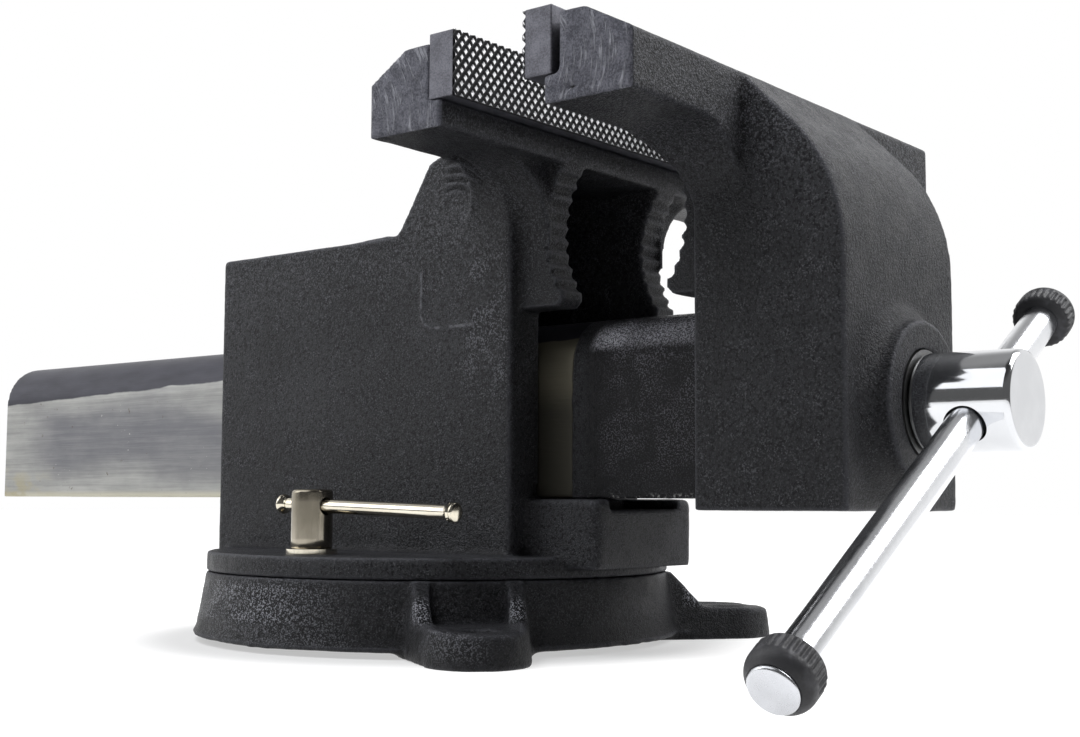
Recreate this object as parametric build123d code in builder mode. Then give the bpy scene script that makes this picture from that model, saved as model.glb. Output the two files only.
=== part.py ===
from build123d import *
import os
from math import asin, cos, degrees, radians, sin, tan

# Swivel bench vise with 203 mm jaws, in millimetres.
# The origin is on the swivel axis at the underside of the base.
# +X runs along the slide to the handle, +Y across the jaws, +Z up.

# Driving dimensions

# How far a cutting shape runs past the surface that it opens
CUT_MARGIN = 1.0

# Swivel base
BASE_HEIGHT = 26.4
BASE_TOP_RADIUS = 91.2
BASE_FOOT_RADIUS = 95.2
FLOOR_OF_BASE = 8.0
SLOT_RADIUS = 69.5
SLOT_WIDTH = 15.0
SLOT_LIP = 8.0
SLOT_UNDERCUT = 4.0
NOTCH_LENGTH = 25.0
PIVOT_RADIUS = 20.5
PIVOT_DEPTH = 14.0
PIVOT_CLEARANCE = 0.05
FOOT_RECESS = 2.0
FOOT_RIM = 9.0

# Fixing lugs of the base
LUG_ANGLES = (41.5, -41.5, 180.0)
LUG_REACH = 115.5
LUG_NOSE_RADIUS = 18.2
LUG_ROOT_WIDTH = 47.0
LUG_HEIGHT = 12.8
LUG_DRAFT = 7.0
LUG_HOLE_RADIUS = 6.5
LUG_POCKET_WIDTH = 26.5
LUG_POCKET_INSET = 5.5
LUG_POCKET_SINK = 1.0
WEB_REACH = 104.0

# Fixed jaw body
TURN_GAP = 0.1
FLANGE_THICK = 7.6
FLOOR_HEIGHT = 28.1
BODY_WIDTH = 80.6
BODY_LENGTH = 159.0
BODY_SETBACK = 27.1
BODY_RISE = 34.4
BODY_CORNER = 2.5
FRONT_CORNER = 1.5
CORE_ROOF = 12.0
CORE_REAR_WALL = 16.0
TONGUE_LENGTH = 31.0
TONGUE_WIDTH = 61.6
TONGUE_RAISE = 3.5
TONGUE_CORNER = 3.5
TONGUE_EDGE = 2.0
TONGUE_POCKET_WIDTH = 44.0
TONGUE_POCKET_LENGTH = 25.0
TONGUE_POCKET_DEPTH = 3.7
COLUMN_FOOT = 57.0
COLUMN_SHOULDER = 40.6
SHOULDER_DROP = 21.0

# Slide of the moving jaw
SLIDE_WIDTH = 46.4
SLIDE_HEIGHT = 65.2
SLIDE_CORNER = 19.0
SLIDE_WALL = 9.0
SLIDE_LENGTH = 422.4
SLIDE_GAP = 0.3

# Jaws and their plates
JAW_WIDTH = 203.0
PLATE_FACE = 97.0
JAW_GAP = 27.5
PLATE_THICK = 11.4
PLATE_HEIGHT = 21.7
PLATE_PROUD = 2.8
THROAT_HEIGHT = 53.6
LIP_HEIGHT = 9.1
FIXED_JAW_DEPTH = 38.0
FIXED_LIP = 5.2
FIXED_BEVEL = 15.8
MOVING_JAW_DEPTH = 41.2
MOVING_LIP = 2.9
MOVING_BEVEL = 18.0
BEVEL_DROP = 9.6
WING_BLEND = 24.0
WING_HEEL = 14.0
PLATE_RELIEF = 2.8
RELIEF_LENGTH = 8.0
PIN_RADIUS = 3.0
PIN_LENGTH = 18.0
PIN_SPACING = 120.0
PIN_RISE = 10.0
PIN_IN_PLATE = 7.0
PLATE_EDGE = 0.5

# Upright of the moving jaw
THROAT_SETBACK = 22.5
UPRIGHT_DEPTH = 54.6
UPRIGHT_SKIRT = 3.9
HOOK_SLOPE = 45.0
HOOK_RADIUS = 60.0
FRONT_WALL = 20.0
UPRIGHT_WALL = 13.0
BOSS_RADIUS = 27.0
BOSS_HEIGHT = 8.0
BOSS_FLARE = 6.0
BOSS_RECESS = 2.6
PIPE_POCKET_DEPTH = 28.0

# Toothed pipe jaws
PIPE_RADIUS = 40.0
PIPE_CHORD = 48.8
PIPE_TOOTH_PITCH = 5.4
PIPE_TOOTH_DEPTH = 1.9
PIPE_RIB_WIDTH = 12.5
PIPE_RIB_INSET = 23.5
PIPE_RIB_EMBED = 1.0
RIB_WEB_RADIUS = 29.0
RIB_WEB_SETBACK = 13.0
FIXED_PIPE_DEPTH = 15.5
MOVING_PIPE_DEPTH = 17.7
HORN_DROP = 2.5
THROAT_STEP = 4.4
THROAT_DIP = 12.0

# Spindle, its nut and its retainer
SPINDLE_RISE = 30.2
SPINDLE_RADIUS = 12.0
SPINDLE_REACH = 195.0
SPINDLE_CLEARANCE = 0.06
HEAD_RADIUS = 16.1
HEAD_LENGTH = 32.6
HEAD_EDGE = 1.2
THRUST_THICK = 2.4
THRUST_RADIUS = 17.4
END_PLAY = 0.2
NUT_LENGTH = 40.0
NUT_HALF_WIDTH = 13.4
NUT_SPIGOT_RADIUS = 9.0
NUT_SPIGOT_DEPTH = 6.0
NUT_SCREW_RADIUS = 5.0
NUT_SCREW_LENGTH = 30.0
NUT_SCREW_HEAD_RADIUS = 8.0
NUT_SCREW_HEAD = 8.0
NUT_SCREW_SOCKET = 4.6
COUNTERBORE_GAP = 0.5
COUNTERBORE_DEPTH = 26.0
SPRING_LENGTH = 10.0
SPRING_RADIUS = 15.6
SPRING_WIRE = 1.5
SPRING_GAP = 0.3
WASHER_GAP = 0.3
RECESS_GAP = 0.5
SPRING_TURNS = 2.5
SPRING_WASHER_THICK = 2.0
COLLAR_LENGTH = 8.0
COLLAR_RADIUS = 18.5
COLLAR_PIN_RADIUS = 2.0
COLLAR_PIN_INSET = 0.5

# Handle of the spindle
HANDLE_RADIUS = 5.9
HANDLE_CLEARANCE = 0.1
HANDLE_SETBACK = 14.7
HANDLE_TILT = 30.2
HANDLE_LOWER = 146.0
HANDLE_UPPER = 64.8
GRIP_RADIUS = 9.8
GRIP_LENGTH = 10.6
GRIP_EDGE = 1.6
BUTTON_THICK = 2.2
BUTTON_RADIUS = 6.6
BUTTON_DOME = 1.3
BUTTON_SHANK_RADIUS = 3.0
BUTTON_SHANK = 9.0

# Swivel locks
LOCK_WASHER_RADIUS = 9.4
LOCK_WASHER_THICK = 1.9
LOCK_HEAD_RADIUS = 7.6
LOCK_HEAD_HEIGHT = 21.8
LOCK_HEAD_EDGE = 1.0
FLANGE_HOLE_GAP = 0.3
LOCK_SHANK_RADIUS = 6.0
LOCK_SHANK_CLEARANCE = 0.05
LOCK_BAR_RADIUS = 2.6
LOCK_BAR_END_RADIUS = 3.4
LOCK_BAR_END = 3.0
LOCK_BAR_CLEARANCE = 0.1
LOCK_BAR_REACH = 71.0
LOCK_BAR_TAIL = 16.5
LOCK_BAR_SAG = 1.7
LOCK_BAR_DROP = 6.0
LOCK_NUT_WIDTH = 20.0
LOCK_NUT_THICK = 8.0
LOCK_NUT_CORNER = 2.0
LOCK_NUT_GAP = 0.3

# Heights that follow from the sizes above
flange_z = BASE_HEIGHT + TURN_GAP
flange_top = flange_z + FLANGE_THICK
floor_z = flange_z + FLOOR_HEIGHT
slide_z = floor_z + SLIDE_GAP
slide_top = slide_z + SLIDE_HEIGHT
channel_top = slide_top + SLIDE_GAP
spindle_z = slide_z + SPINDLE_RISE
body_top = slide_top + BODY_RISE
bar_under = slide_top + THROAT_HEIGHT
ledge_z = bar_under + LIP_HEIGHT
plate_top = ledge_z + PLATE_HEIGHT
jaw_top = plate_top - PLATE_PROUD
bevel_z = jaw_top - BEVEL_DROP
pipe_z = bar_under - PIPE_CHORD / 2
horn_z = pipe_z - PIPE_CHORD / 2
upright_foot = slide_z - UPRIGHT_SKIRT
counterbore_top = flange_z - PIVOT_DEPTH + COUNTERBORE_DEPTH

# Places along the slide
fixed_back = PLATE_FACE - PLATE_THICK
fixed_lip = fixed_back + FIXED_LIP
fixed_outer = PLATE_FACE - FIXED_JAW_DEPTH
body_front = PLATE_FACE - BODY_SETBACK
body_rear = body_front - BODY_LENGTH
tongue_front = body_front + TONGUE_LENGTH
moving_face = PLATE_FACE + JAW_GAP
moving_back = moving_face + PLATE_THICK
moving_lip = moving_back - MOVING_LIP
moving_outer = moving_face + MOVING_JAW_DEPTH
throat_x = moving_face + THROAT_SETBACK
upright_front = throat_x + UPRIGHT_DEPTH
front_wall_x = upright_front - FRONT_WALL
slide_rear = throat_x - SLIDE_LENGTH
boss_face = upright_front + BOSS_HEIGHT
thrust_x = boss_face - BOSS_RECESS
head_start = thrust_x + THRUST_THICK + END_PLAY
head_end = head_start + HEAD_LENGTH
handle_x = head_end - HANDLE_SETBACK
spring_end = front_wall_x - SPRING_WASHER_THICK
collar_x = spring_end - SPRING_LENGTH - COLLAR_LENGTH / 2
spindle_axis = Axis((0, 0, spindle_z), (1, 0, 0))
half_jaw = JAW_WIDTH / 2
half_body = BODY_WIDTH / 2
arc_half_angle = degrees(asin(PIPE_CHORD / 2 / PIPE_RADIUS))

# Directions and planes of the tilted bars
handle_way = Vector(0, cos(radians(HANDLE_TILT)), sin(radians(HANDLE_TILT)))
handle_centre = Vector(handle_x, 0, spindle_z)
lock_bar_way = Vector(cos(radians(LOCK_BAR_SAG)), 0, -sin(radians(LOCK_BAR_SAG)))
lock_head_z = flange_top + LOCK_WASHER_THICK
lock_top = lock_head_z + LOCK_HEAD_HEIGHT
lock_bar_z = lock_top - LOCK_BAR_DROP
lock_nut_top = BASE_HEIGHT - SLOT_LIP - LOCK_NUT_GAP
slot_roof = BASE_HEIGHT - SLOT_LIP


def toothed_arc(centre_x, side):
    """Corner points of one pipe jaw, from its upper end down, seen from the side."""
    arc_length = 2 * PIPE_RADIUS * radians(arc_half_angle)
    teeth = max(3, round(arc_length / PIPE_TOOTH_PITCH))
    points = []
    for step in range(2 * teeth + 1):
        angle = radians(arc_half_angle * (1 - step / teeth))
        radius = PIPE_RADIUS - (PIPE_TOOTH_DEPTH if step % 2 else 0)
        points.append((centre_x + side * radius * cos(angle), pipe_z + radius * sin(angle)))
    return points


def pipe_rib(centre_x, side, root_x):
    """The two toothed ribs of one jaw, rooted in the plane x = root_x."""
    arc = toothed_arc(centre_x, side)
    upper = (arc[0][0], bar_under + HORN_DROP)
    heel = (arc[-1][0] + side * HORN_DROP, horn_z - HORN_DROP)
    with BuildPart() as ribs:
        with BuildSketch(Plane.XZ.offset(PIPE_RIB_INSET)):
            with BuildLine():
                Polyline((root_x, upper[1]), upper, *arc, heel, (root_x, heel[1]), close=True)
            make_face()
        extrude(amount=PIPE_RIB_WIDTH)
        mirror(about=Plane.XZ)
    return ribs.part


def jaw_bar(section, front_x, back_x):
    """A jaw bar the full width of the vise, whose wings run down into the body."""
    root = min(WING_BLEND, half_jaw - half_body)
    bend = root * (1 - cos(radians(45)))
    with BuildPart() as bar:
        with BuildSketch(Plane.XZ):
            with BuildLine():
                Polyline(*section, close=True)
            make_face()
        extrude(amount=half_jaw, both=True)
        with BuildSketch(Plane.YZ.offset(min(front_x, back_x))):
            with BuildLine():
                Line((0, jaw_top + CUT_MARGIN), (half_jaw, jaw_top + CUT_MARGIN))
                Line((half_jaw, jaw_top + CUT_MARGIN), (half_jaw, bar_under))
                Line((half_jaw, bar_under), (half_body + root, bar_under))
                ThreePointArc(
                    (half_body + root, bar_under),
                    (half_body + bend, bar_under - bend),
                    (half_body, bar_under - root),
                )
                Line((half_body, bar_under - root), (0, bar_under - root))
                Line((0, bar_under - root), (0, jaw_top + CUT_MARGIN))
            make_face()
            mirror(about=Plane.YZ)
        extrude(amount=abs(front_x - back_x), mode=Mode.INTERSECT)
    return bar.part


def slide_section(plane, growth):
    """Outline of the slide, grown all round by a running gap."""
    with BuildSketch(plane) as section:
        with Locations((0, slide_z + SLIDE_HEIGHT / 2)):
            Rectangle(SLIDE_WIDTH + 2 * growth, SLIDE_HEIGHT + 2 * growth)
        fillet(section.vertices().group_by(Axis.Y)[-1], radius=SLIDE_CORNER + growth)
    return section.sketch


def lug():
    """One fixing lug that points along +X, with its two webs and its bolt pocket."""
    root_x = BASE_TOP_RADIUS - LUG_POCKET_INSET
    half_root = LUG_ROOT_WIDTH / 2
    lug_tip = LUG_REACH + LUG_NOSE_RADIUS
    with BuildPart() as ear:
        with BuildSketch():
            with BuildLine():
                Polyline(
                    (0, -half_root),
                    (root_x, -half_root),
                    (LUG_REACH, -LUG_NOSE_RADIUS),
                    (LUG_REACH, LUG_NOSE_RADIUS),
                    (root_x, half_root),
                    (0, half_root),
                    close=True,
                )
            make_face()
            with Locations((LUG_REACH, 0)):
                Circle(LUG_NOSE_RADIUS)
        extrude(amount=BASE_HEIGHT, taper=LUG_DRAFT)
        with BuildSketch(Plane.XZ):
            with BuildLine():
                Polyline(
                    (0, 0),
                    (lug_tip, 0),
                    (lug_tip, LUG_HEIGHT),
                    (WEB_REACH, LUG_HEIGHT),
                    (BASE_TOP_RADIUS, BASE_HEIGHT),
                    (0, BASE_HEIGHT),
                    close=True,
                )
            make_face()
        extrude(amount=LUG_ROOT_WIDTH, both=True, mode=Mode.INTERSECT)
        with BuildSketch(Plane.XY.offset(LUG_HEIGHT - LUG_POCKET_SINK)):
            with Locations(((root_x + lug_tip) / 2, 0)):
                Rectangle(lug_tip - root_x, LUG_POCKET_WIDTH)
        extrude(amount=BASE_HEIGHT, mode=Mode.SUBTRACT)
    return ear.part


# Swivel base: a cone with a ring slot for the lock nuts and three fixing lugs
single_lug = lug()
slot_inner = SLOT_RADIUS - SLOT_WIDTH / 2
slot_outer = SLOT_RADIUS + SLOT_WIDTH / 2
with BuildPart() as swivel_base:
    with BuildSketch(Plane.XZ):
        with BuildLine():
            Polyline(
                (0, 0),
                (PIVOT_RADIUS + FOOT_RIM, 0),
                (PIVOT_RADIUS + FOOT_RIM, FOOT_RECESS),
                (BASE_FOOT_RADIUS, FOOT_RECESS),
                (BASE_TOP_RADIUS, BASE_HEIGHT),
                (0, BASE_HEIGHT),
                close=True,
            )
        make_face()
    revolve(axis=Axis.Z)
    for angle in LUG_ANGLES:
        add(single_lug.rotate(Axis.Z, angle))
    with BuildSketch(Plane.XZ):
        with BuildLine():
            Polyline(
                (slot_inner, BASE_HEIGHT + CUT_MARGIN),
                (slot_inner, slot_roof),
                (slot_inner - SLOT_UNDERCUT, slot_roof),
                (slot_inner - SLOT_UNDERCUT, FLOOR_OF_BASE),
                (slot_outer + SLOT_UNDERCUT, FLOOR_OF_BASE),
                (slot_outer + SLOT_UNDERCUT, slot_roof),
                (slot_outer, slot_roof),
                (slot_outer, BASE_HEIGHT + CUT_MARGIN),
                close=True,
            )
        make_face()
    revolve(axis=Axis.Z, mode=Mode.SUBTRACT)
    with BuildSketch(Plane.XY.offset(BASE_HEIGHT)):
        with Locations((SLOT_RADIUS, 0)):
            Rectangle(SLOT_WIDTH + 2 * SLOT_UNDERCUT, NOTCH_LENGTH)
    extrude(amount=-SLOT_LIP, mode=Mode.SUBTRACT)
    with BuildSketch(Plane.XY.offset(FLOOR_OF_BASE)):
        Circle(PIVOT_RADIUS + PIVOT_CLEARANCE)
    extrude(amount=BASE_HEIGHT, mode=Mode.SUBTRACT)
    with BuildSketch(Plane.XY):
        Circle(BASE_FOOT_RADIUS - FOOT_RIM)
        Circle(PIVOT_RADIUS + FOOT_RIM, mode=Mode.SUBTRACT)
    extrude(amount=FOOT_RECESS, mode=Mode.SUBTRACT)
    with BuildSketch(Plane.XY):
        for angle in LUG_ANGLES:
            with Locations(Location((0, 0, 0), (0, 0, 1), angle)):
                with Locations((LUG_REACH, 0)):
                    Circle(LUG_HOLE_RADIUS)
    extrude(amount=BASE_HEIGHT, mode=Mode.SUBTRACT)

# Jaw bar of the fixed jaw, with the ledge and lip that carry the plate
fixed_section = [
    (body_front, bar_under - WING_BLEND),
    (body_front, bar_under),
    (fixed_lip, bar_under),
    (fixed_lip, ledge_z),
    (fixed_back, ledge_z),
    (fixed_back, jaw_top),
    (fixed_outer + FIXED_BEVEL, jaw_top),
    (fixed_outer, bevel_z),
    (fixed_outer, bar_under),
    (fixed_outer - WING_HEEL, bar_under - WING_BLEND),
]
fixed_bar = jaw_bar(fixed_section, fixed_lip, fixed_outer - WING_HEEL)
channel = slide_section(Plane.YZ.offset(body_rear), SLIDE_GAP)
slide_face = slide_section(Plane.YZ.offset(slide_rear), 0)
fixed_ribs = pipe_rib(PLATE_FACE - FIXED_PIPE_DEPTH + PIPE_RADIUS, -1, body_front)
column_foot_x = body_front - COLUMN_FOOT
shoulder_x = body_front - COLUMN_SHOULDER
rib_side = PIPE_RIB_INSET + PIPE_RIB_WIDTH
web_bend = RIB_WEB_RADIUS * (1 - cos(radians(45)))

# Tongue that carries the slide in front of the body, hollowed under its end
with BuildPart() as tongue:
    with BuildSketch(Plane.XY.offset(flange_z + TONGUE_RAISE)):
        with Locations((tongue_front / 2, 0)):
            Rectangle(tongue_front, TONGUE_WIDTH)
    extrude(amount=floor_z - flange_z - TONGUE_RAISE)
    fillet(tongue.edges().filter_by(Axis.Z).group_by(Axis.X)[-1], radius=TONGUE_CORNER)
    fillet(tongue.faces().sort_by(Axis.Z)[-1].edges().filter_by(Axis.X), radius=TONGUE_EDGE)
    with BuildSketch(Plane.XY.offset(floor_z)):
        with Locations((tongue_front - TONGUE_POCKET_LENGTH / 2, 0)):
            Rectangle(TONGUE_POCKET_LENGTH, TONGUE_POCKET_WIDTH)
    extrude(amount=-TONGUE_POCKET_DEPTH, mode=Mode.SUBTRACT)

# Fixed jaw body: flange, body, column, channel for the slide and hollow core
with BuildPart() as static_body:
    with BuildSketch(Plane.XZ):
        with BuildLine():
            Polyline(
                (body_rear, flange_z),
                (body_front, flange_z),
                (body_front, bar_under - WING_BLEND),
                (fixed_outer, bevel_z),
                (shoulder_x, jaw_top - SHOULDER_DROP),
                (column_foot_x, body_top),
                (body_rear, body_top),
                close=True,
            )
        make_face()
    extrude(amount=half_body, both=True)
    fillet(static_body.edges().filter_by(Axis.Z).group_by(Axis.X)[0], radius=BODY_CORNER)
    fillet(static_body.edges().filter_by(Axis.Z).group_by(Axis.X)[-1], radius=FRONT_CORNER)
    add(fixed_bar)
    with BuildSketch(Plane.XY.offset(flange_z)):
        Circle(BASE_TOP_RADIUS)
    extrude(amount=FLANGE_THICK)
    add(tongue.part)
    extrude(channel, amount=BODY_LENGTH + TONGUE_LENGTH, mode=Mode.SUBTRACT)
    with BuildSketch(Plane.XZ):
        with BuildLine():
            Polyline(
                (body_rear + CORE_REAR_WALL, spindle_z),
                (tongue_front, spindle_z),
                (tongue_front, bar_under),
                (shoulder_x + CORE_ROOF, bar_under),
                (shoulder_x + CORE_ROOF, body_top - CORE_ROOF),
                (body_rear + CORE_REAR_WALL, body_top - CORE_ROOF),
                close=True,
            )
        make_face()
    extrude(amount=PIPE_RIB_INSET, both=True, mode=Mode.SUBTRACT)
    add(fixed_ribs)
    with BuildSketch(Plane.YZ.offset(body_front)):
        with BuildLine():
            Polyline(
                (rib_side, bar_under - RIB_WEB_RADIUS),
                (rib_side - CUT_MARGIN, bar_under - RIB_WEB_RADIUS),
                (rib_side - CUT_MARGIN, bar_under + CUT_MARGIN),
                (rib_side + RIB_WEB_RADIUS, bar_under + CUT_MARGIN),
                (rib_side + RIB_WEB_RADIUS, bar_under),
            )
            ThreePointArc(
                (rib_side + RIB_WEB_RADIUS, bar_under),
                (rib_side + web_bend, bar_under - web_bend),
                (rib_side, bar_under - RIB_WEB_RADIUS),
            )
        make_face()
        mirror(about=Plane.YZ)
    extrude(amount=BODY_SETBACK - RIB_WEB_SETBACK)
    with BuildSketch(Plane.XY.offset(flange_z)):
        Circle(PIVOT_RADIUS)
    extrude(amount=-PIVOT_DEPTH)
    with BuildSketch(Plane.XY.offset(flange_z - PIVOT_DEPTH)):
        Circle(NUT_SCREW_HEAD_RADIUS + COUNTERBORE_GAP)
    extrude(amount=COUNTERBORE_DEPTH, mode=Mode.SUBTRACT)
    with BuildSketch(Plane.XY.offset(counterbore_top)):
        Circle(NUT_SCREW_RADIUS)
    extrude(amount=floor_z - counterbore_top, mode=Mode.SUBTRACT)
    with BuildSketch(Plane.XY.offset(floor_z)):
        Circle(NUT_SPIGOT_RADIUS)
    extrude(amount=-NUT_SPIGOT_DEPTH, mode=Mode.SUBTRACT)
    with BuildSketch(Plane.XY.offset(flange_z)):
        with Locations((0, SLOT_RADIUS), (0, -SLOT_RADIUS)):
            Circle(LOCK_SHANK_RADIUS + FLANGE_HOLE_GAP)
    extrude(amount=FLANGE_THICK, mode=Mode.SUBTRACT)
    with BuildSketch(Plane.YZ.offset(fixed_back - PIN_LENGTH + PIN_IN_PLATE)):
        with Locations((PIN_SPACING / 2, ledge_z + PIN_RISE), (-PIN_SPACING / 2, ledge_z + PIN_RISE)):
            Circle(PIN_RADIUS)
    extrude(amount=PIN_LENGTH - PIN_IN_PLATE, mode=Mode.SUBTRACT)

# Moving jaw: hooked upright, jaw bar, pipe jaws and slide in one casting
moving_section = [
    (throat_x + UPRIGHT_WALL, bar_under - WING_BLEND),
    (throat_x, bar_under - WING_BLEND),
    (throat_x - THROAT_STEP, bar_under - THROAT_DIP),
    (moving_lip, bar_under),
    (moving_lip, ledge_z),
    (moving_back, ledge_z),
    (moving_back, jaw_top),
    (moving_outer - MOVING_BEVEL, jaw_top),
    (moving_outer, bevel_z),
    (moving_outer, bar_under - WING_BLEND),
]
moving_bar = jaw_bar(moving_section, moving_lip, moving_outer)
moving_ribs = pipe_rib(moving_face + MOVING_PIPE_DEPTH - PIPE_RADIUS, 1, throat_x + PIPE_RIB_EMBED)
hook_drop = (upright_front - moving_outer) * tan(radians(HOOK_SLOPE))
with BuildPart() as moving_jaw:
    with BuildSketch(Plane.XZ) as hook:
        with BuildLine():
            Polyline(
                (throat_x, upright_foot),
                (upright_front, upright_foot),
                (upright_front, bevel_z - hook_drop),
                (moving_outer, bevel_z),
                (moving_lip, bar_under),
                (throat_x - THROAT_STEP, bar_under - THROAT_DIP),
                (throat_x, bar_under - WING_BLEND),
                close=True,
            )
        make_face()
        fillet(hook.vertices().sort_by_distance((upright_front, bevel_z - hook_drop))[0], radius=HOOK_RADIUS)
    extrude(amount=half_body, both=True)
    add(moving_bar)
    with BuildSketch(Plane.XZ):
        with Locations((throat_x, (spindle_z + bar_under) / 2)):
            Rectangle(2 * PIPE_POCKET_DEPTH, bar_under - spindle_z)
    extrude(amount=PIPE_RIB_INSET, both=True, mode=Mode.SUBTRACT)
    extrude(slide_face, amount=SLIDE_LENGTH + UPRIGHT_WALL)
    with BuildSketch(Plane.YZ.offset(slide_rear)) as bore_of_slide:
        with Locations((0, slide_z + (SLIDE_HEIGHT - SLIDE_WALL) / 2)):
            Rectangle(SLIDE_WIDTH - 2 * SLIDE_WALL, SLIDE_HEIGHT - SLIDE_WALL)
        fillet(bore_of_slide.vertices().group_by(Axis.Y)[-1], radius=SLIDE_CORNER - SLIDE_WALL)
    extrude(amount=front_wall_x - slide_rear, mode=Mode.SUBTRACT)
    core_height = slide_top - SLIDE_WALL - upright_foot
    with BuildSketch(Plane.XY.offset(upright_foot)):
        with Locations(((throat_x + UPRIGHT_WALL + front_wall_x) / 2, 0)):
            Rectangle(front_wall_x - throat_x - UPRIGHT_WALL, BODY_WIDTH - 2 * UPRIGHT_WALL)
    extrude(amount=core_height, mode=Mode.SUBTRACT)
    with BuildSketch(Plane.YZ.offset(throat_x)):
        with Locations((0, (upright_foot + slide_z) / 2)):
            Rectangle(SLIDE_WIDTH - 2 * SLIDE_WALL, slide_z - upright_foot)
    extrude(amount=UPRIGHT_WALL, mode=Mode.SUBTRACT)
    add(moving_ribs)
    with BuildSketch(Plane.XZ):
        with BuildLine():
            Polyline(
                (front_wall_x, spindle_z),
                (front_wall_x, spindle_z + BOSS_RADIUS),
                (upright_front, spindle_z + BOSS_RADIUS + BOSS_FLARE),
                (upright_front + BOSS_HEIGHT / 2, spindle_z + BOSS_RADIUS),
                (boss_face, spindle_z + BOSS_RADIUS),
                (boss_face, spindle_z + THRUST_RADIUS + RECESS_GAP),
                (thrust_x, spindle_z + THRUST_RADIUS + RECESS_GAP),
                (thrust_x, spindle_z),
                close=True,
            )
        make_face()
    revolve(axis=spindle_axis)
    with BuildSketch(Plane.YZ.offset(front_wall_x)):
        with Locations((0, spindle_z)):
            Circle(SPINDLE_RADIUS + SPINDLE_CLEARANCE)
    extrude(amount=boss_face - front_wall_x, mode=Mode.SUBTRACT)
    for end in (-1, 1):
        with BuildSketch(Plane.XZ.offset(end * (half_jaw - RELIEF_LENGTH / 2))):
            with Locations((moving_back + PLATE_RELIEF / 2, (ledge_z + jaw_top) / 2)):
                Rectangle(PLATE_RELIEF, jaw_top - ledge_z)
        extrude(amount=RELIEF_LENGTH / 2, both=True, mode=Mode.SUBTRACT)
    with BuildSketch(Plane.YZ.offset(moving_back)):
        with Locations((PIN_SPACING / 2, ledge_z + PIN_RISE), (-PIN_SPACING / 2, ledge_z + PIN_RISE)):
            Circle(PIN_RADIUS)
    extrude(amount=PIN_LENGTH - PIN_IN_PLATE, mode=Mode.SUBTRACT)


def jaw_plate(face_x, back_x):
    """A jaw plate that stands on its ledge, with two pin holes in its back."""
    inward = 1 if face_x > back_x else -1
    with BuildPart() as plate:
        with BuildSketch(Plane.XY.offset(ledge_z)):
            with Locations(((face_x + back_x) / 2, 0)):
                Rectangle(PLATE_THICK, JAW_WIDTH)
        extrude(amount=PLATE_HEIGHT)
        chamfer(plate.faces().sort_by(Axis.Z)[-1].edges(), length=PLATE_EDGE)
        with BuildSketch(Plane.YZ.offset(back_x)):
            with Locations((PIN_SPACING / 2, ledge_z + PIN_RISE), (-PIN_SPACING / 2, ledge_z + PIN_RISE)):
                Circle(PIN_RADIUS)
        extrude(amount=inward * PIN_IN_PLATE, mode=Mode.SUBTRACT)
    return plate.part


def plate_pins(back_x, inward):
    """The two hidden pins that hold one jaw plate."""
    with BuildPart() as pins:
        with BuildSketch(Plane.YZ.offset(back_x + inward * PIN_IN_PLATE)):
            with Locations((PIN_SPACING / 2, ledge_z + PIN_RISE), (-PIN_SPACING / 2, ledge_z + PIN_RISE)):
                Circle(PIN_RADIUS)
        extrude(amount=-inward * PIN_LENGTH)
    return pins.part


static_jaw_plate = jaw_plate(PLATE_FACE, fixed_back)
static_jaw_pins = plate_pins(fixed_back, 1)
moving_jaw_plate = jaw_plate(moving_face, moving_back)
moving_jaw_pins = plate_pins(moving_back, -1)

# Spindle nut: a round-topped block on the floor of the channel, with a locating spigot
with BuildPart() as spindle_nut:
    with BuildSketch(Plane.YZ.offset(-NUT_LENGTH / 2)):
        with Locations((0, spindle_z)):
            Circle(NUT_HALF_WIDTH)
        with Locations((0, (floor_z + spindle_z) / 2)):
            Rectangle(2 * NUT_HALF_WIDTH, spindle_z - floor_z)
    extrude(amount=NUT_LENGTH)
    with BuildSketch(Plane.XY.offset(floor_z)):
        Circle(NUT_SPIGOT_RADIUS)
    extrude(amount=-NUT_SPIGOT_DEPTH)
    with BuildSketch(Plane.YZ.offset(-NUT_LENGTH / 2)):
        with Locations((0, spindle_z)):
            Circle(SPINDLE_RADIUS + SPINDLE_CLEARANCE)
    extrude(amount=NUT_LENGTH, mode=Mode.SUBTRACT)
    with BuildSketch(Plane.XY.offset(counterbore_top)):
        Circle(NUT_SCREW_RADIUS)
    extrude(amount=NUT_SCREW_LENGTH, mode=Mode.SUBTRACT)

# Socket screw that holds the nut from below
with BuildPart() as spindle_nut_screw:
    with BuildSketch(Plane.XY.offset(counterbore_top)):
        Circle(NUT_SCREW_RADIUS)
    extrude(amount=NUT_SCREW_LENGTH)
    with BuildSketch(Plane.XY.offset(counterbore_top)):
        Circle(NUT_SCREW_HEAD_RADIUS)
    extrude(amount=-NUT_SCREW_HEAD)
    with BuildSketch(Plane.XY.offset(counterbore_top - NUT_SCREW_HEAD)):
        RegularPolygon(NUT_SCREW_SOCKET, 6)
    extrude(amount=NUT_SCREW_HEAD / 2, mode=Mode.SUBTRACT)

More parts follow.
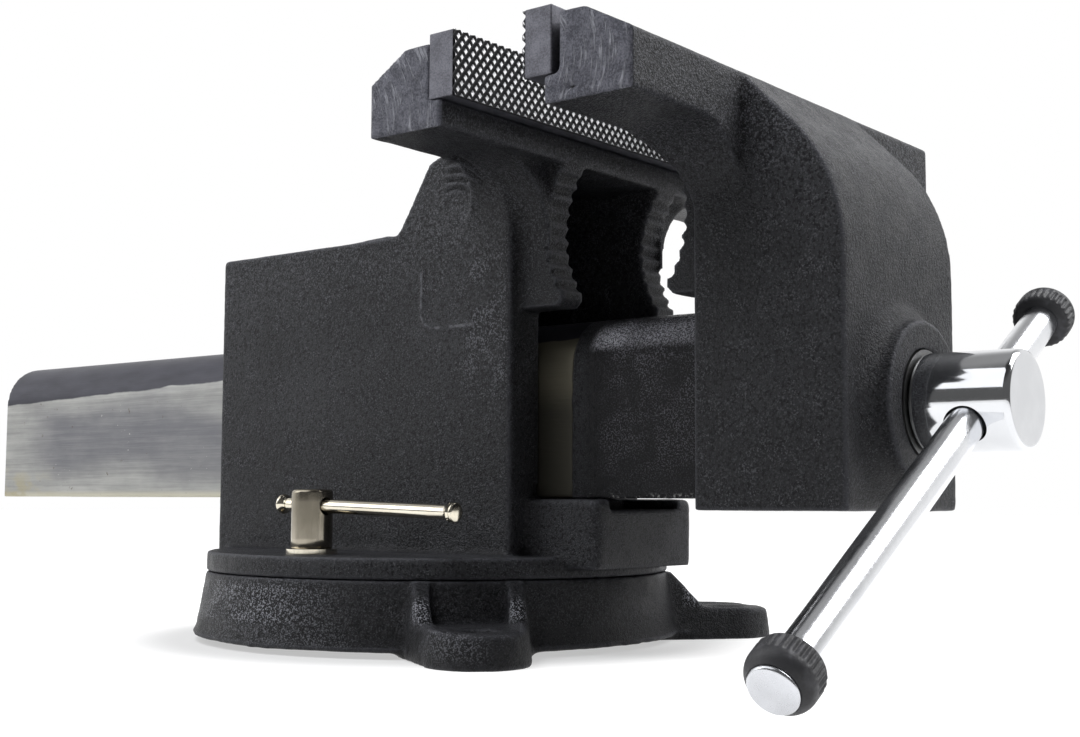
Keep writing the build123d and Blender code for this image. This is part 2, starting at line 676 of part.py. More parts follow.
# Spindle with its cross-drilled head
with BuildPart() as spindle:
    with BuildSketch(Plane.YZ.offset(-SPINDLE_REACH)):
        with Locations((0, spindle_z)):
            Circle(SPINDLE_RADIUS)
    extrude(amount=SPINDLE_REACH + head_start)
    chamfer(spindle.faces().sort_by(Axis.X)[0].edges(), length=HEAD_EDGE)
    with BuildSketch(Plane.YZ.offset(head_start)):
        with Locations((0, spindle_z)):
            Circle(HEAD_RADIUS)
    extrude(amount=HEAD_LENGTH)
    fillet(spindle.faces().sort_by(Axis.X)[-1].edges(), radius=HEAD_EDGE)
    with BuildSketch(Plane(origin=handle_centre, z_dir=handle_way)):
        Circle(HANDLE_RADIUS + HANDLE_CLEARANCE)
    extrude(amount=2 * HEAD_RADIUS, both=True, mode=Mode.SUBTRACT)
    with BuildSketch(Plane.XY.offset(spindle_z)):
        with Locations((collar_x, 0)):
            Circle(COLLAR_PIN_RADIUS)
    extrude(amount=2 * SPINDLE_RADIUS, both=True, mode=Mode.SUBTRACT)


def ring(start_x, length, outer, inner):
    """A plain ring about the spindle axis."""
    with BuildPart() as body:
        with BuildSketch(Plane.YZ.offset(start_x)):
            with Locations((0, spindle_z)):
                Circle(outer)
                Circle(inner, mode=Mode.SUBTRACT)
        extrude(amount=length)
    return body.part


thrust_washer = ring(thrust_x, THRUST_THICK, THRUST_RADIUS, SPINDLE_RADIUS + WASHER_GAP)
spring_washer = ring(spring_end, SPRING_WASHER_THICK, COLLAR_RADIUS, SPINDLE_RADIUS + WASHER_GAP)

# Retaining collar behind the front wall, cross-drilled for its pin
collar_ring = ring(collar_x - COLLAR_LENGTH / 2, COLLAR_LENGTH, COLLAR_RADIUS, SPINDLE_RADIUS)
with BuildPart() as retaining_collar:
    add(collar_ring)
    with BuildSketch(Plane.XY.offset(spindle_z)):
        with Locations((collar_x, 0)):
            Circle(COLLAR_PIN_RADIUS)
    extrude(amount=2 * COLLAR_RADIUS, both=True, mode=Mode.SUBTRACT)

with BuildPart() as collar_pin:
    with BuildSketch(Plane.XY.offset(spindle_z)):
        with Locations((collar_x, 0)):
            Circle(COLLAR_PIN_RADIUS)
    extrude(amount=COLLAR_RADIUS - COLLAR_PIN_INSET, both=True)

# Coil spring that keeps the spindle's head against the jaw
with BuildPart() as spindle_spring:
    coil_height = SPRING_LENGTH - 2 * SPRING_WIRE - SPRING_GAP
    with BuildLine() as coil:
        Helix(
            pitch=coil_height / SPRING_TURNS,
            height=coil_height,
            radius=SPRING_RADIUS,
            center=(spring_end - SPRING_WIRE - coil_height, 0, spindle_z),
            direction=(1, 0, 0),
        )
    with BuildSketch(Plane(origin=coil.line @ 0, z_dir=coil.line % 0)):
        Circle(SPRING_WIRE)
    sweep()

# Handle bar with a threaded seat for an end button at each end
lower_seat = handle_centre - handle_way * (HANDLE_LOWER + GRIP_LENGTH / 2)
upper_seat = handle_centre + handle_way * (HANDLE_UPPER + GRIP_LENGTH / 2)
with BuildPart() as handle_bar:
    with BuildSketch(Plane(origin=lower_seat, z_dir=handle_way)):
        Circle(HANDLE_RADIUS)
    extrude(amount=HANDLE_LOWER + HANDLE_UPPER + GRIP_LENGTH)
    for seat, way in ((lower_seat, handle_way), (upper_seat, -handle_way)):
        with BuildSketch(Plane(origin=seat, z_dir=way)):
            Circle(BUTTON_SHANK_RADIUS)
        extrude(amount=BUTTON_SHANK, mode=Mode.SUBTRACT)


def handle_grip(seat, inward):
    """Rubber ring on one end of the handle."""
    with BuildPart() as grip:
        with BuildSketch(Plane(origin=seat, z_dir=inward)):
            Circle(GRIP_RADIUS)
        extrude(amount=GRIP_LENGTH)
        chamfer(grip.edges(), length=GRIP_EDGE)
        with BuildSketch(Plane(origin=seat, z_dir=inward)):
            Circle(HANDLE_RADIUS)
        extrude(amount=GRIP_LENGTH, mode=Mode.SUBTRACT)
    return grip.part


def handle_button(seat, inward):
    """Domed end button whose shank screws into the handle bar."""
    with BuildPart() as button:
        with BuildSketch(Plane(origin=seat, z_dir=-inward)):
            Circle(BUTTON_RADIUS)
        extrude(amount=BUTTON_THICK)
        fillet(button.faces().sort_by(Axis(seat, -inward))[-1].edges(), radius=BUTTON_DOME)
        with BuildSketch(Plane(origin=seat, z_dir=inward)):
            Circle(BUTTON_SHANK_RADIUS)
        extrude(amount=BUTTON_SHANK)
    return button.part


handle_grip_lower = handle_grip(lower_seat, handle_way)
handle_grip_upper = handle_grip(upper_seat, -handle_way)
handle_button_lower = handle_button(lower_seat, handle_way)
handle_button_upper = handle_button(upper_seat, -handle_way)

# Lock nuts in the ring slot and washers on the flange, one of each per side
with BuildPart() as lock_nuts:
    with BuildSketch(Plane.XY.offset(lock_nut_top)):
        with Locations((0, SLOT_RADIUS), (0, -SLOT_RADIUS)):
            RectangleRounded(LOCK_NUT_WIDTH, LOCK_NUT_WIDTH, LOCK_NUT_CORNER)
            Circle(LOCK_SHANK_RADIUS + LOCK_SHANK_CLEARANCE, mode=Mode.SUBTRACT)
    extrude(amount=-LOCK_NUT_THICK)

with BuildPart() as lock_washers:
    with BuildSketch(Plane.XY.offset(flange_top)):
        with Locations((0, SLOT_RADIUS), (0, -SLOT_RADIUS)):
            Circle(LOCK_WASHER_RADIUS)
            Circle(LOCK_SHANK_RADIUS + FLANGE_HOLE_GAP, mode=Mode.SUBTRACT)
    extrude(amount=LOCK_WASHER_THICK)


def lock_bolt(side):
    """Swivel lock bolt with its tall cross-drilled head."""
    with BuildPart() as bolt:
        with BuildSketch(Plane.XY.offset(lock_head_z)):
            with Locations((0, side * SLOT_RADIUS)):
                Circle(LOCK_HEAD_RADIUS)
        extrude(amount=LOCK_HEAD_HEIGHT)
        chamfer(bolt.faces().sort_by(Axis.Z)[-1].edges(), length=LOCK_HEAD_EDGE)
        with BuildSketch(Plane.XY.offset(lock_head_z)):
            with Locations((0, side * SLOT_RADIUS)):
                Circle(LOCK_SHANK_RADIUS)
        extrude(amount=lock_nut_top - LOCK_NUT_THICK - lock_head_z)
        with BuildSketch(Plane(origin=(0, side * SLOT_RADIUS, lock_bar_z), z_dir=lock_bar_way)):
            Circle(LOCK_BAR_RADIUS + LOCK_BAR_CLEARANCE)
        extrude(amount=2 * LOCK_HEAD_RADIUS, both=True, mode=Mode.SUBTRACT)
    return bolt.part


def lock_bar(side):
    """Cross bar of one lock bolt, with its two flared ends."""
    origin = Vector(0, side * SLOT_RADIUS, lock_bar_z)
    with BuildPart() as bar:
        with BuildSketch(Plane(origin=origin - lock_bar_way * LOCK_BAR_TAIL, z_dir=lock_bar_way)):
            Circle(LOCK_BAR_RADIUS)
        extrude(amount=LOCK_BAR_TAIL + LOCK_BAR_REACH)
        for seat, way in (
            (origin - lock_bar_way * LOCK_BAR_TAIL, lock_bar_way),
            (origin + lock_bar_way * LOCK_BAR_REACH, -lock_bar_way),
        ):
            with BuildSketch(Plane(origin=seat, z_dir=way)):
                Circle(LOCK_BAR_END_RADIUS)
            with BuildSketch(Plane(origin=seat + way * LOCK_BAR_END, z_dir=way)):
                Circle(LOCK_BAR_RADIUS)
            loft()
    return bar.part


lock_bolt_near = lock_bolt(-1)
lock_bolt_far = lock_bolt(1)
lock_bar_near = lock_bar(-1)
lock_bar_far = lock_bar(1)

pieces = {
    "swivel_base": swivel_base.part,
    "static_body": static_body.part,
    "static_jaw_plate": static_jaw_plate,
    "static_jaw_pins": static_jaw_pins,
    "spindle_nut": spindle_nut.part,
    "spindle_nut_screw": spindle_nut_screw.part,
    "lock_nuts": lock_nuts.part,
    "lock_washers": lock_washers.part,
    "lock_bolt_near": lock_bolt_near,
    "lock_bolt_far": lock_bolt_far,
    "lock_bar_near": lock_bar_near,
    "lock_bar_far": lock_bar_far,
    "moving_jaw": moving_jaw.part,
    "moving_jaw_plate": moving_jaw_plate,
    "moving_jaw_pins": moving_jaw_pins,
    "thrust_washer": thrust_washer,
    "spring_washer": spring_washer,
    "spindle_spring": spindle_spring.part,
    "spindle": spindle.part,
    "retaining_collar": retaining_collar.part,
    "collar_pin": collar_pin.part,
    "handle_bar": handle_bar.part,
    "handle_grip_lower": handle_grip_lower,
    "handle_grip_upper": handle_grip_upper,
    "handle_button_lower": handle_button_lower,
    "handle_button_upper": handle_button_upper,
}
os.makedirs("parts", exist_ok=True)
for name, piece in pieces.items():
    piece.label = name
    export_step(piece, f"parts/{name}.step")
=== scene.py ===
import math

import bmesh
import bpy
import numpy as np
from mathutils import Matrix, Vector


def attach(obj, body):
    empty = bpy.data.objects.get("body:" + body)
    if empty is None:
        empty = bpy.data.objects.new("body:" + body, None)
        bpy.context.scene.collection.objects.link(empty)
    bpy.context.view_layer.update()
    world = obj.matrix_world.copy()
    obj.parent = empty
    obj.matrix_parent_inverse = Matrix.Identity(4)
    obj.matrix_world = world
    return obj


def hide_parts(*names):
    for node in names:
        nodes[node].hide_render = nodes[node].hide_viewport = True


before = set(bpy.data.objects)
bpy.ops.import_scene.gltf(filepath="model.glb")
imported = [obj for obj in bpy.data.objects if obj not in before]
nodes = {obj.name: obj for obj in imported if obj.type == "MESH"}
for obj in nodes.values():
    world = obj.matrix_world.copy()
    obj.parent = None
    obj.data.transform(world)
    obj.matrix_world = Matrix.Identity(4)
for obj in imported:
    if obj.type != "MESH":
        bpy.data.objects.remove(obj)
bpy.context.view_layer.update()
MM = 0.001

# Camera, from a fit to the photograph's vanishing lines
CAMERA_PLACE = Vector((0.412051, -0.453569, 0.0537))
CAMERA_AZIMUTH = math.radians(38.493)
CAMERA_PITCH = math.radians(5.021)
CAMERA_ROLL = math.radians(0.250)
CAMERA_LENS = 50.339
SENSOR_WIDTH = 36.0

# Places that the CAD gives, in millimetres
SPINDLE_Z = 85.1
BAR_UNDER = 173.7
LEDGE_Z = 182.8
PLATE_TOP = 204.5
HALF_JAW = 101.5
FIXED_FACE = 97.0
FIXED_BACK = 85.6
MOVING_FACE = 124.5
MOVING_BACK = 135.9
HANDLE_X = 227.5
HANDLE_TILT = math.radians(30.2)
HEAD_START = 209.6
HEAD_END = 242.2


# Noise
def hashed(ix, iy, iz, seed):
    """Repeatable values from 0 to 1 at whole-number grid points."""
    n = (ix * 374761393 + iy * 668265263 + iz * 2147483647 + seed * 974634777) & 0xFFFFFFFF
    n = ((n ^ (n >> 13)) * 1274126177) & 0xFFFFFFFF
    n = n ^ (n >> 16)
    return (n & 0xFFFFFF) / float(0xFFFFFF)


def value_noise(points, size, seed=1):
    """Smooth noise from -1 to 1 at the points, with features of about that size."""
    p = points / size
    base = np.floor(p).astype(np.int64)
    f = p - base
    f = f * f * (3 - 2 * f)
    total = np.zeros(len(points))
    for dx in (0, 1):
        for dy in (0, 1):
            for dz in (0, 1):
                w = f[:, 0] if dx else 1 - f[:, 0]
                w = w * (f[:, 1] if dy else 1 - f[:, 1])
                w = w * (f[:, 2] if dz else 1 - f[:, 2])
                total += w * hashed(base[:, 0] + dx, base[:, 1] + dy, base[:, 2] + dz, seed)
    return total * 2 - 1


def smoothstep(a, b, x):
    """0 below a, 1 above b and a smooth rise between them."""
    t = np.clip((x - a) / (b - a), 0.0, 1.0)
    return t * t * (3 - 2 * t)


def between(a, b, c, d, x):
    """1 from b to c, fading to 0 at a and at d."""
    return smoothstep(a, b, x) * (1 - smoothstep(c, d, x))


# Meshes
def make_object(name, verts, faces, smooth=True):
    """A new mesh object from points in millimetres."""
    mesh = bpy.data.meshes.new(name)
    mesh.from_pydata([tuple(c * MM for c in v) for v in verts], [], faces)
    mesh.validate()
    obj = bpy.data.objects.new(name, mesh)
    bpy.context.scene.collection.objects.link(obj)
    if smooth:
        mesh.polygons.foreach_set("use_smooth", [True] * len(mesh.polygons))
    return obj


def finish_piece(obj, body, slot, material, *replaced):
    """Gives a piece its material and its body, and hides the nodes it stands for. The slot is not used.
    """
    obj.data.materials.clear()
    obj.data.materials.append(material)
    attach(obj, body)
    if replaced:
        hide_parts(*replaced)


def grid_faces(rows, columns, closed_rows=False, closed_columns=False):
    """Quads over a grid of points stored row by row."""
    faces = []
    for i in range(rows if closed_rows else rows - 1):
        for j in range(columns if closed_columns else columns - 1):
            a = i * columns + j
            b = i * columns + (j + 1) % columns
            c = ((i + 1) % rows) * columns + (j + 1) % columns
            d = ((i + 1) % rows) * columns + j
            faces.append((a, b, c, d))
    return faces


def lathe(name, profile, origin, way, segments=64, radius_of=None):
    """A turned piece. profile holds (distance along, radius) from one end to the other."""
    way = Vector(way).normalized()
    side = way.orthogonal().normalized()
    up = way.cross(side)
    origin = Vector(origin)
    verts = []
    faces = []
    starts = []
    for along, radius in profile:
        starts.append(len(verts))
        if radius < 1e-6:
            verts.append(origin + way * along)
            continue
        for j in range(segments):
            a = 2 * math.pi * j / segments
            r = radius_of(along, radius, a) if radius_of else radius
            verts.append(origin + way * along + side * (r * math.cos(a)) + up * (r * math.sin(a)))
    for i in range(len(profile) - 1):
        a0, a1 = starts[i], starts[i + 1]
        tip0, tip1 = profile[i][1] < 1e-6, profile[i + 1][1] < 1e-6
        for j in range(segments):
            k = (j + 1) % segments
            if tip0:
                faces.append((a0, a1 + k, a1 + j))
            elif tip1:
                faces.append((a0 + j, a0 + k, a1))
            else:
                faces.append((a0 + j, a0 + k, a1 + k, a1 + j))
    return make_object(name, verts, faces)


def sharpen(obj, degrees_limit=35):
    """Keeps edges crisp where faces meet at more than this angle."""
    obj.data.set_sharp_from_angle(angle=math.radians(degrees_limit))


def casting(node, name, voxel, rounds, weight_of, shape_of):
    """A rounded, slightly uneven cast copy of a CAD node, on a fine even mesh."""
    source = nodes[node].data
    bm = bmesh.new()
    bm.from_mesh(source)
    bmesh.ops.remove_doubles(bm, verts=bm.verts, dist=1e-5)
    mesh = bpy.data.meshes.new(name + "_source")
    bm.to_mesh(mesh)
    bm.free()
    mesh.materials.clear()
    temp = bpy.data.objects.new(name + "_source", mesh)
    bpy.context.scene.collection.objects.link(temp)
    remesh = temp.modifiers.new("even", "REMESH")
    remesh.mode = "VOXEL"
    remesh.voxel_size = voxel * MM
    remesh.adaptivity = 0
    graph = bpy.context.evaluated_depsgraph_get()
    fine = bpy.data.meshes.new_from_object(temp.evaluated_get(graph))
    bpy.data.objects.remove(temp)
    count = len(fine.vertices)
    co = np.empty(count * 3)
    fine.vertices.foreach_get("co", co)
    co = co.reshape(-1, 3) / MM
    edges = np.empty(len(fine.edges) * 2, dtype=np.int64)
    fine.edges.foreach_get("vertices", edges)
    edges = edges.reshape(-1, 2)
    degree = np.maximum(np.bincount(edges.ravel(), minlength=count), 1)
    weight = weight_of(co)
    for _ in range(rounds):
        moved = np.empty_like(co)
        for axis in range(3):
            total = np.bincount(edges[:, 0], weights=co[edges[:, 1], axis], minlength=count)
            total += np.bincount(edges[:, 1], weights=co[edges[:, 0], axis], minlength=count)
            moved[:, axis] = total / degree
        co += (moved - co) * (0.5 * weight)[:, None]
    fine.vertices.foreach_set("co", (co * MM).ravel())
    fine.update()
    normals = np.empty(count * 3)
    fine.vertices.foreach_get("normal", normals)
    co = shape_of(co, normals.reshape(-1, 3))
    fine.vertices.foreach_set("co", (co * MM).ravel())
    fine.update()
    fine.polygons.foreach_set("use_smooth", [True] * len(fine.polygons))
    fine.name = name
    obj = bpy.data.objects.new(name, fine)
    bpy.context.scene.collection.objects.link(obj)
    return obj


# Nodes
def feed(tree, value, socket):
    """Links a socket to the input, or sets the input to a number or a colour."""
    if isinstance(value, bpy.types.NodeSocket):
        tree.links.new(value, socket)
    elif isinstance(value, (tuple, list)):
        is_colour = len(value) == 3 and socket.type == "RGBA"
        socket.default_value = (*value, 1.0) if is_colour else value
    else:
        socket.default_value = value


def add_math(tree, operation, a, b=0.0):
    node = tree.nodes.new("ShaderNodeMath")
    node.operation = operation
    feed(tree, a, node.inputs[0])
    feed(tree, b, node.inputs[1])
    return node.outputs[0]


def add_ramp(tree, value, low, high, start, end):
    """The value, rescaled smoothly from low..high to start..end and clamped."""
    node = tree.nodes.new("ShaderNodeMapRange")
    node.interpolation_type = "SMOOTHSTEP"
    feed(tree, value, node.inputs["Value"])
    node.inputs["From Min"].default_value = low
    node.inputs["From Max"].default_value = high
    node.inputs["To Min"].default_value = start
    node.inputs["To Max"].default_value = end
    return node.outputs["Result"]


# Materials
class Finish:
    """One procedural material round a single Principled shader, in object coordinates."""

    def __init__(self, name, roughness=0.5, metallic=0.0, specular=0.5):
        self.material = bpy.data.materials.new(name)
        self.material.use_nodes = True
        self.tree = self.material.node_tree
        self.shader = self.tree.nodes["Principled BSDF"]
        self.shader.inputs["Roughness"].default_value = roughness
        self.shader.inputs["Metallic"].default_value = metallic
        self.shader.inputs["Specular IOR Level"].default_value = specular
        coords = self.tree.nodes.new("ShaderNodeTexCoord")
        scale = self.tree.nodes.new("ShaderNodeVectorMath")
        scale.operation = "SCALE"
        scale.inputs["Scale"].default_value = 1 / MM
        self.tree.links.new(coords.outputs["Object"], scale.inputs[0])
        self.place = scale.outputs["Vector"]
        split = self.tree.nodes.new("ShaderNodeSeparateXYZ")
        self.tree.links.new(self.place, split.inputs[0])
        self.x, self.y, self.z = split.outputs

    def link(self, value, socket):
        feed(self.tree, value, socket)

    def math(self, operation, a, b=0.0):
        return add_math(self.tree, operation, a, b)

    def times(self, a, b):
        return self.math("MULTIPLY", a, b)

    def plus(self, a, b):
        return self.math("ADD", a, b)

    def minus(self, a, b):
        return self.math("SUBTRACT", a, b)

    def larger(self, a, b):
        return self.math("MAXIMUM", a, b)

    def absolute(self, a):
        return self.math("ABSOLUTE", a)

    def length(self, a, b):
        """Length of the hypotenuse over two sides."""
        return self.math("SQRT", self.plus(self.times(a, a), self.times(b, b)))

    def noise(self, size, detail=2.0, roughness=0.5, stretch=None, place=None):
        """Noise from 0 to 1, with features of about that size in millimetres."""
        where = place or self.place
        if stretch:
            node = self.tree.nodes.new("ShaderNodeVectorMath")
            node.operation = "MULTIPLY"
            self.link(where, node.inputs[0])
            node.inputs[1].default_value = stretch
            where = node.outputs[0]
        node = self.tree.nodes.new("ShaderNodeTexNoise")
        self.link(where, node.inputs["Vector"])
        node.inputs["Scale"].default_value = 1 / size
        node.inputs["Detail"].default_value = detail
        node.inputs["Roughness"].default_value = roughness
        return node.outputs["Fac"]

    def ramp(self, value, low, high, start=0.0, end=1.0):
        return add_ramp(self.tree, value, low, high, start, end)

    def band(self, value, low, low_full, high_full, high):
        """1 between the two full values, fading to 0 at low and at high."""
        return self.times(self.ramp(value, low, low_full), self.ramp(value, high, high_full))

    def mix(self, factor, a, b):
        """Colour a where the factor is 0 and colour b where it is 1."""
        node = self.tree.nodes.new("ShaderNodeMix")
        node.data_type = "RGBA"
        self.link(factor, node.inputs[0])
        self.link(a, node.inputs[6])
        self.link(b, node.inputs[7])
        return node.outputs[2]

    def blend(self, factor, a, b):
        """Number a where the factor is 0 and number b where it is 1."""
        node = self.tree.nodes.new("ShaderNodeMix")
        node.data_type = "FLOAT"
        self.link(factor, node.inputs[0])
        self.link(a, node.inputs[2])
        self.link(b, node.inputs[3])
        return node.outputs[0]

    def bump(self, height, distance):
        """Bump with that height in millimetres."""
        node = self.tree.nodes.new("ShaderNodeBump")
        node.inputs["Distance"].default_value = distance * MM
        node.inputs["Strength"].default_value = 1.0
        self.link(height, node.inputs["Height"])
        self.tree.links.new(node.outputs["Normal"], self.shader.inputs["Normal"])

    def set(self, **values):
        """Sets or links the shader's colour, roughness and metallic."""
        names = {"colour": "Base Color", "roughness": "Roughness", "metallic": "Metallic"}
        for key, value in values.items():
            self.link(value, self.shader.inputs[names[key]])


PAINT_DARK = (0.0235, 0.0240, 0.0268)
PAINT_LIGHT = (0.0405, 0.0412, 0.0455)
GLINT = (0.150, 0.151, 0.163)
CUT_DARK = (0.052, 0.053, 0.066)
CUT_LIGHT = (0.165, 0.167, 0.196)
CUT_MARK_AND_GLINT = (0.34, 0.345, 0.38)
PIT = (0.004, 0.004, 0.005)
CREVICE_SHADE = (0.003, 0.003, 0.004)
DARKENED_PAINT = (0.005, 0.005, 0.006)
EDGE_WEAR_AND_HIGHLIGHT = (0.115, 0.117, 0.132)
RIDGE_WEAR_AND_HIGHLIGHT = (0.16, 0.162, 0.178)
SHADED_SLIDE_PAINT = (0.006, 0.006, 0.007)
SLIDE_GLINT = (0.125, 0.123, 0.140)
SHOULDER_HIGHLIGHT = (0.62, 0.62, 0.68)
PALE_EDGE_FLECKS = (0.36, 0.36, 0.35)
STEEL_DARK = (0.33, 0.33, 0.32)
STEEL_LIGHT = (0.50, 0.50, 0.48)
STEEL_OILED = (0.185, 0.186, 0.205)
STEEL_WARM = (0.66, 0.63, 0.50)
STEEL_NICK = (0.85, 0.84, 0.78)
RUST = (0.12, 0.085, 0.055)
STAIN = (0.42, 0.37, 0.22)
STRIP_LOW = (0.055, 0.052, 0.042)
STRIP_HIGH = (0.13, 0.12, 0.09)
OXIDE_DARK = (0.030, 0.030, 0.038)
OXIDE_LIGHT = (0.085, 0.085, 0.104)
OXIDE_SHADE = (0.006, 0.006, 0.008)

# Size of the paint's grain, and where the painted front of the slide ends, in millimetres
GRAIN = 0.58
PAINTED_END = (146.0, 147.0)


def sawn_metal(f, centre_x, centre_z):
    """Bare sawn metal: a fine mottle with a few long saw marks that curve round a centre."""
    away_x = f.minus(f.x, centre_x)
    away_z = f.minus(f.z, centre_z)
    around = f.length(away_x, away_z)
    along = f.tree.nodes.new("ShaderNodeCombineXYZ")
    f.link(around, along.inputs[0])
    f.link(f.times(f.z, 0.09), along.inputs[1])
    f.link(f.y, along.inputs[2])
    marks = f.ramp(f.noise(1.25, detail=3.0, roughness=0.6, place=along.outputs[0]), 0.53, 0.64)
    grit = f.noise(0.55, detail=2.0, roughness=0.6)
    mottle = f.noise(4.5, detail=4.0, roughness=0.65)
    tone = f.plus(f.times(grit, 0.55), f.times(mottle, 0.45))
    colour = f.mix(f.ramp(tone, 0.34, 0.66), CUT_DARK, CUT_LIGHT)
    marked = f.times(marks, f.ramp(mottle, 0.3, 0.6, 0.25, 0.65))
    colour = f.mix(marked, colour, CUT_MARK_AND_GLINT)
    height = f.plus(f.times(grit, 0.5), f.times(marks, 0.3))
    return colour, height


def core_mark(f):
    """The ridge of a core print on the body's side, rubbed paler and carrying a painted highlight: two
    lines and a round corner.
    """
    side = f.larger(f.minus(32.6, f.x), 0.0)
    drop = f.larger(f.minus(124.0, f.z), 0.0)
    away = f.length(side, drop)
    line = f.ramp(f.absolute(f.minus(away, 6.2)), 0.25, 0.85, 1.0, 0.0)
    line = f.times(line, f.times(f.ramp(f.x, 54.0, 50.0), f.ramp(f.z, 141.0, 137.0)))
    line = f.times(line, f.ramp(f.x, 20.0, 22.0))
    return f.times(line, f.ramp(f.noise(3.0, detail=3.0), 0.40, 0.56))


def wet_slide(f, colour, wet, fine):
    """Glossy paint darkened as painted shade under the jaws, with painted glints, a painted highlight on
    the shoulder and pale flecks on the lower edge.
    """
    # The glossy paint is darkened nearly black: painted shade under the jaws
    colour = f.mix(f.times(wet, 0.85), colour, SHADED_SLIDE_PAINT)
    # Painted glints, denser at middle height
    uneven = f.ramp(f.noise(9.0, detail=3.0), 0.36, 0.60, 0.25, 1.0)
    middle = f.times(f.ramp(f.z, 58.0, 74.0, 0.25, 1.0), uneven)
    slide_glints = f.times(f.ramp(fine, 0.50, 0.62), f.times(wet, f.ramp(f.x, 92.0, 101.0)))
    colour = f.mix(f.times(slide_glints, middle), colour, SLIDE_GLINT)
    # A painted highlight lies on the shoulder under the gap between the jaws, where light from above
    # comes through
    dust = f.times(f.ramp(fine, 0.40, 0.62, 0.15, 1.0), f.ramp(f.x, 100.0, 110.0, 1.0, 0.38))
    shoulder = f.times(f.band(f.z, 106.0, 110.0, 113.0, 119.0), f.times(f.ramp(f.x, 90.0, 95.0), dust))
    shoulder = f.times(shoulder, f.ramp(f.x, PAINTED_END[1], PAINTED_END[0]))
    colour = f.mix(shoulder, colour, SHOULDER_HIGHLIGHT)
    # Pale flecks along the lower edge
    edge_flecks = f.times(f.ramp(f.z, 57.0, 55.4), f.ramp(f.noise(1.5, detail=4.0), 0.54, 0.66))
    return f.mix(f.times(edge_flecks, wet), colour, PALE_EDGE_FLECKS)


def cast_finish(name, depth, speckle, zone, bare=None, gloss=None, mark=None, deeper=0.0):
    """Dark enamel over a sand-cast skin.

    zone, bare, gloss and mark are functions of the finish. They say where the paint is darkened under
    bright specks, which are painted glints on the base and the moving jaw, where metal is bare, where
    the paint is glossy and darkened as painted shade, and where a ridge is rubbed paler and carries a
    painted highlight.
    """
    f = Finish(name, roughness=0.42, specular=0.18)
    fine = f.noise(GRAIN, roughness=0.6)
    coarse = f.noise(GRAIN * 2.3, roughness=0.6)
    broad = f.noise(GRAIN * 14)
    patches = f.noise(50.0, detail=3.0)
    height = f.plus(f.times(fine, 0.85), f.times(coarse, 0.55))
    colour = f.mix(f.ramp(patches, 0.35, 0.7), PAINT_DARK, PAINT_LIGHT)
    # Pits hold dark paint, and the highest grain tips carry painted glints
    colour = f.mix(f.ramp(coarse, 0.38, 0.50, 0.85, 0.0), colour, PIT)
    wear_and_glint = f.times(f.ramp(fine, 0.54, 0.66), f.ramp(broad, 0.40, 0.66, 0.25, 0.75))
    colour = f.mix(wear_and_glint, colour, GLINT)
    if deeper:
        colour = f.mix(deeper, colour, PIT)
    # Crevices are darkened with painted shade, and raised edges are rubbed paler and carry a painted
    # highlight
    curve = f.tree.nodes.new("ShaderNodeNewGeometry").outputs["Pointiness"]
    colour = f.mix(f.ramp(curve, 0.494, 0.455, 0.0, 0.85), colour, CREVICE_SHADE)
    colour = f.mix(f.ramp(curve, 0.509, 0.550, 0.0, 0.55), colour, EDGE_WEAR_AND_HIGHLIGHT)
    where = zone(f)
    # Where the zone says, the paint is darkened and bright specks are painted on: painted glints on the
    # base and the moving jaw, pale flecks on the body
    colour = f.mix(f.times(where, 0.7 * speckle), colour, DARKENED_PAINT)
    glint_grains = f.ramp(f.plus(fine, f.times(coarse, 0.35)), 0.695, 0.765)
    colour = f.mix(f.times(glint_grains, f.times(where, speckle)), colour, CUT_MARK_AND_GLINT)
    if mark:
        colour = f.mix(f.times(mark(f), 0.75), colour, RIDGE_WEAR_AND_HIGHLIGHT)
    rough = f.ramp(broad, 0.3, 0.7, 0.38, 0.50)
    if gloss:
        wet = gloss(f)
        rough = f.blend(wet, rough, 0.26)
        colour = wet_slide(f, colour, wet, fine)
    metal = 0.0
    if bare:
        mask, bare_colour, bare_height, bare_rough, bare_metal = bare(f)
        colour = f.mix(mask, colour, bare_colour)
        rough = f.blend(mask, rough, bare_rough)
        height = f.blend(mask, height, bare_height)
        metal = f.times(mask, bare_metal)
    f.set(colour=colour, roughness=rough, metallic=metal)
    f.bump(height, depth)
    return f.material


def fixed_ends(f):
    """The two sawn ends of the fixed jaw bar, where no paint is left."""
    mask = f.ramp(f.absolute(f.y), HALF_JAW - 1.0, HALF_JAW - 0.6)
    colour, height = sawn_metal(f, 36.0, 176.0)
    return mask, colour, height, 0.46, 0.45


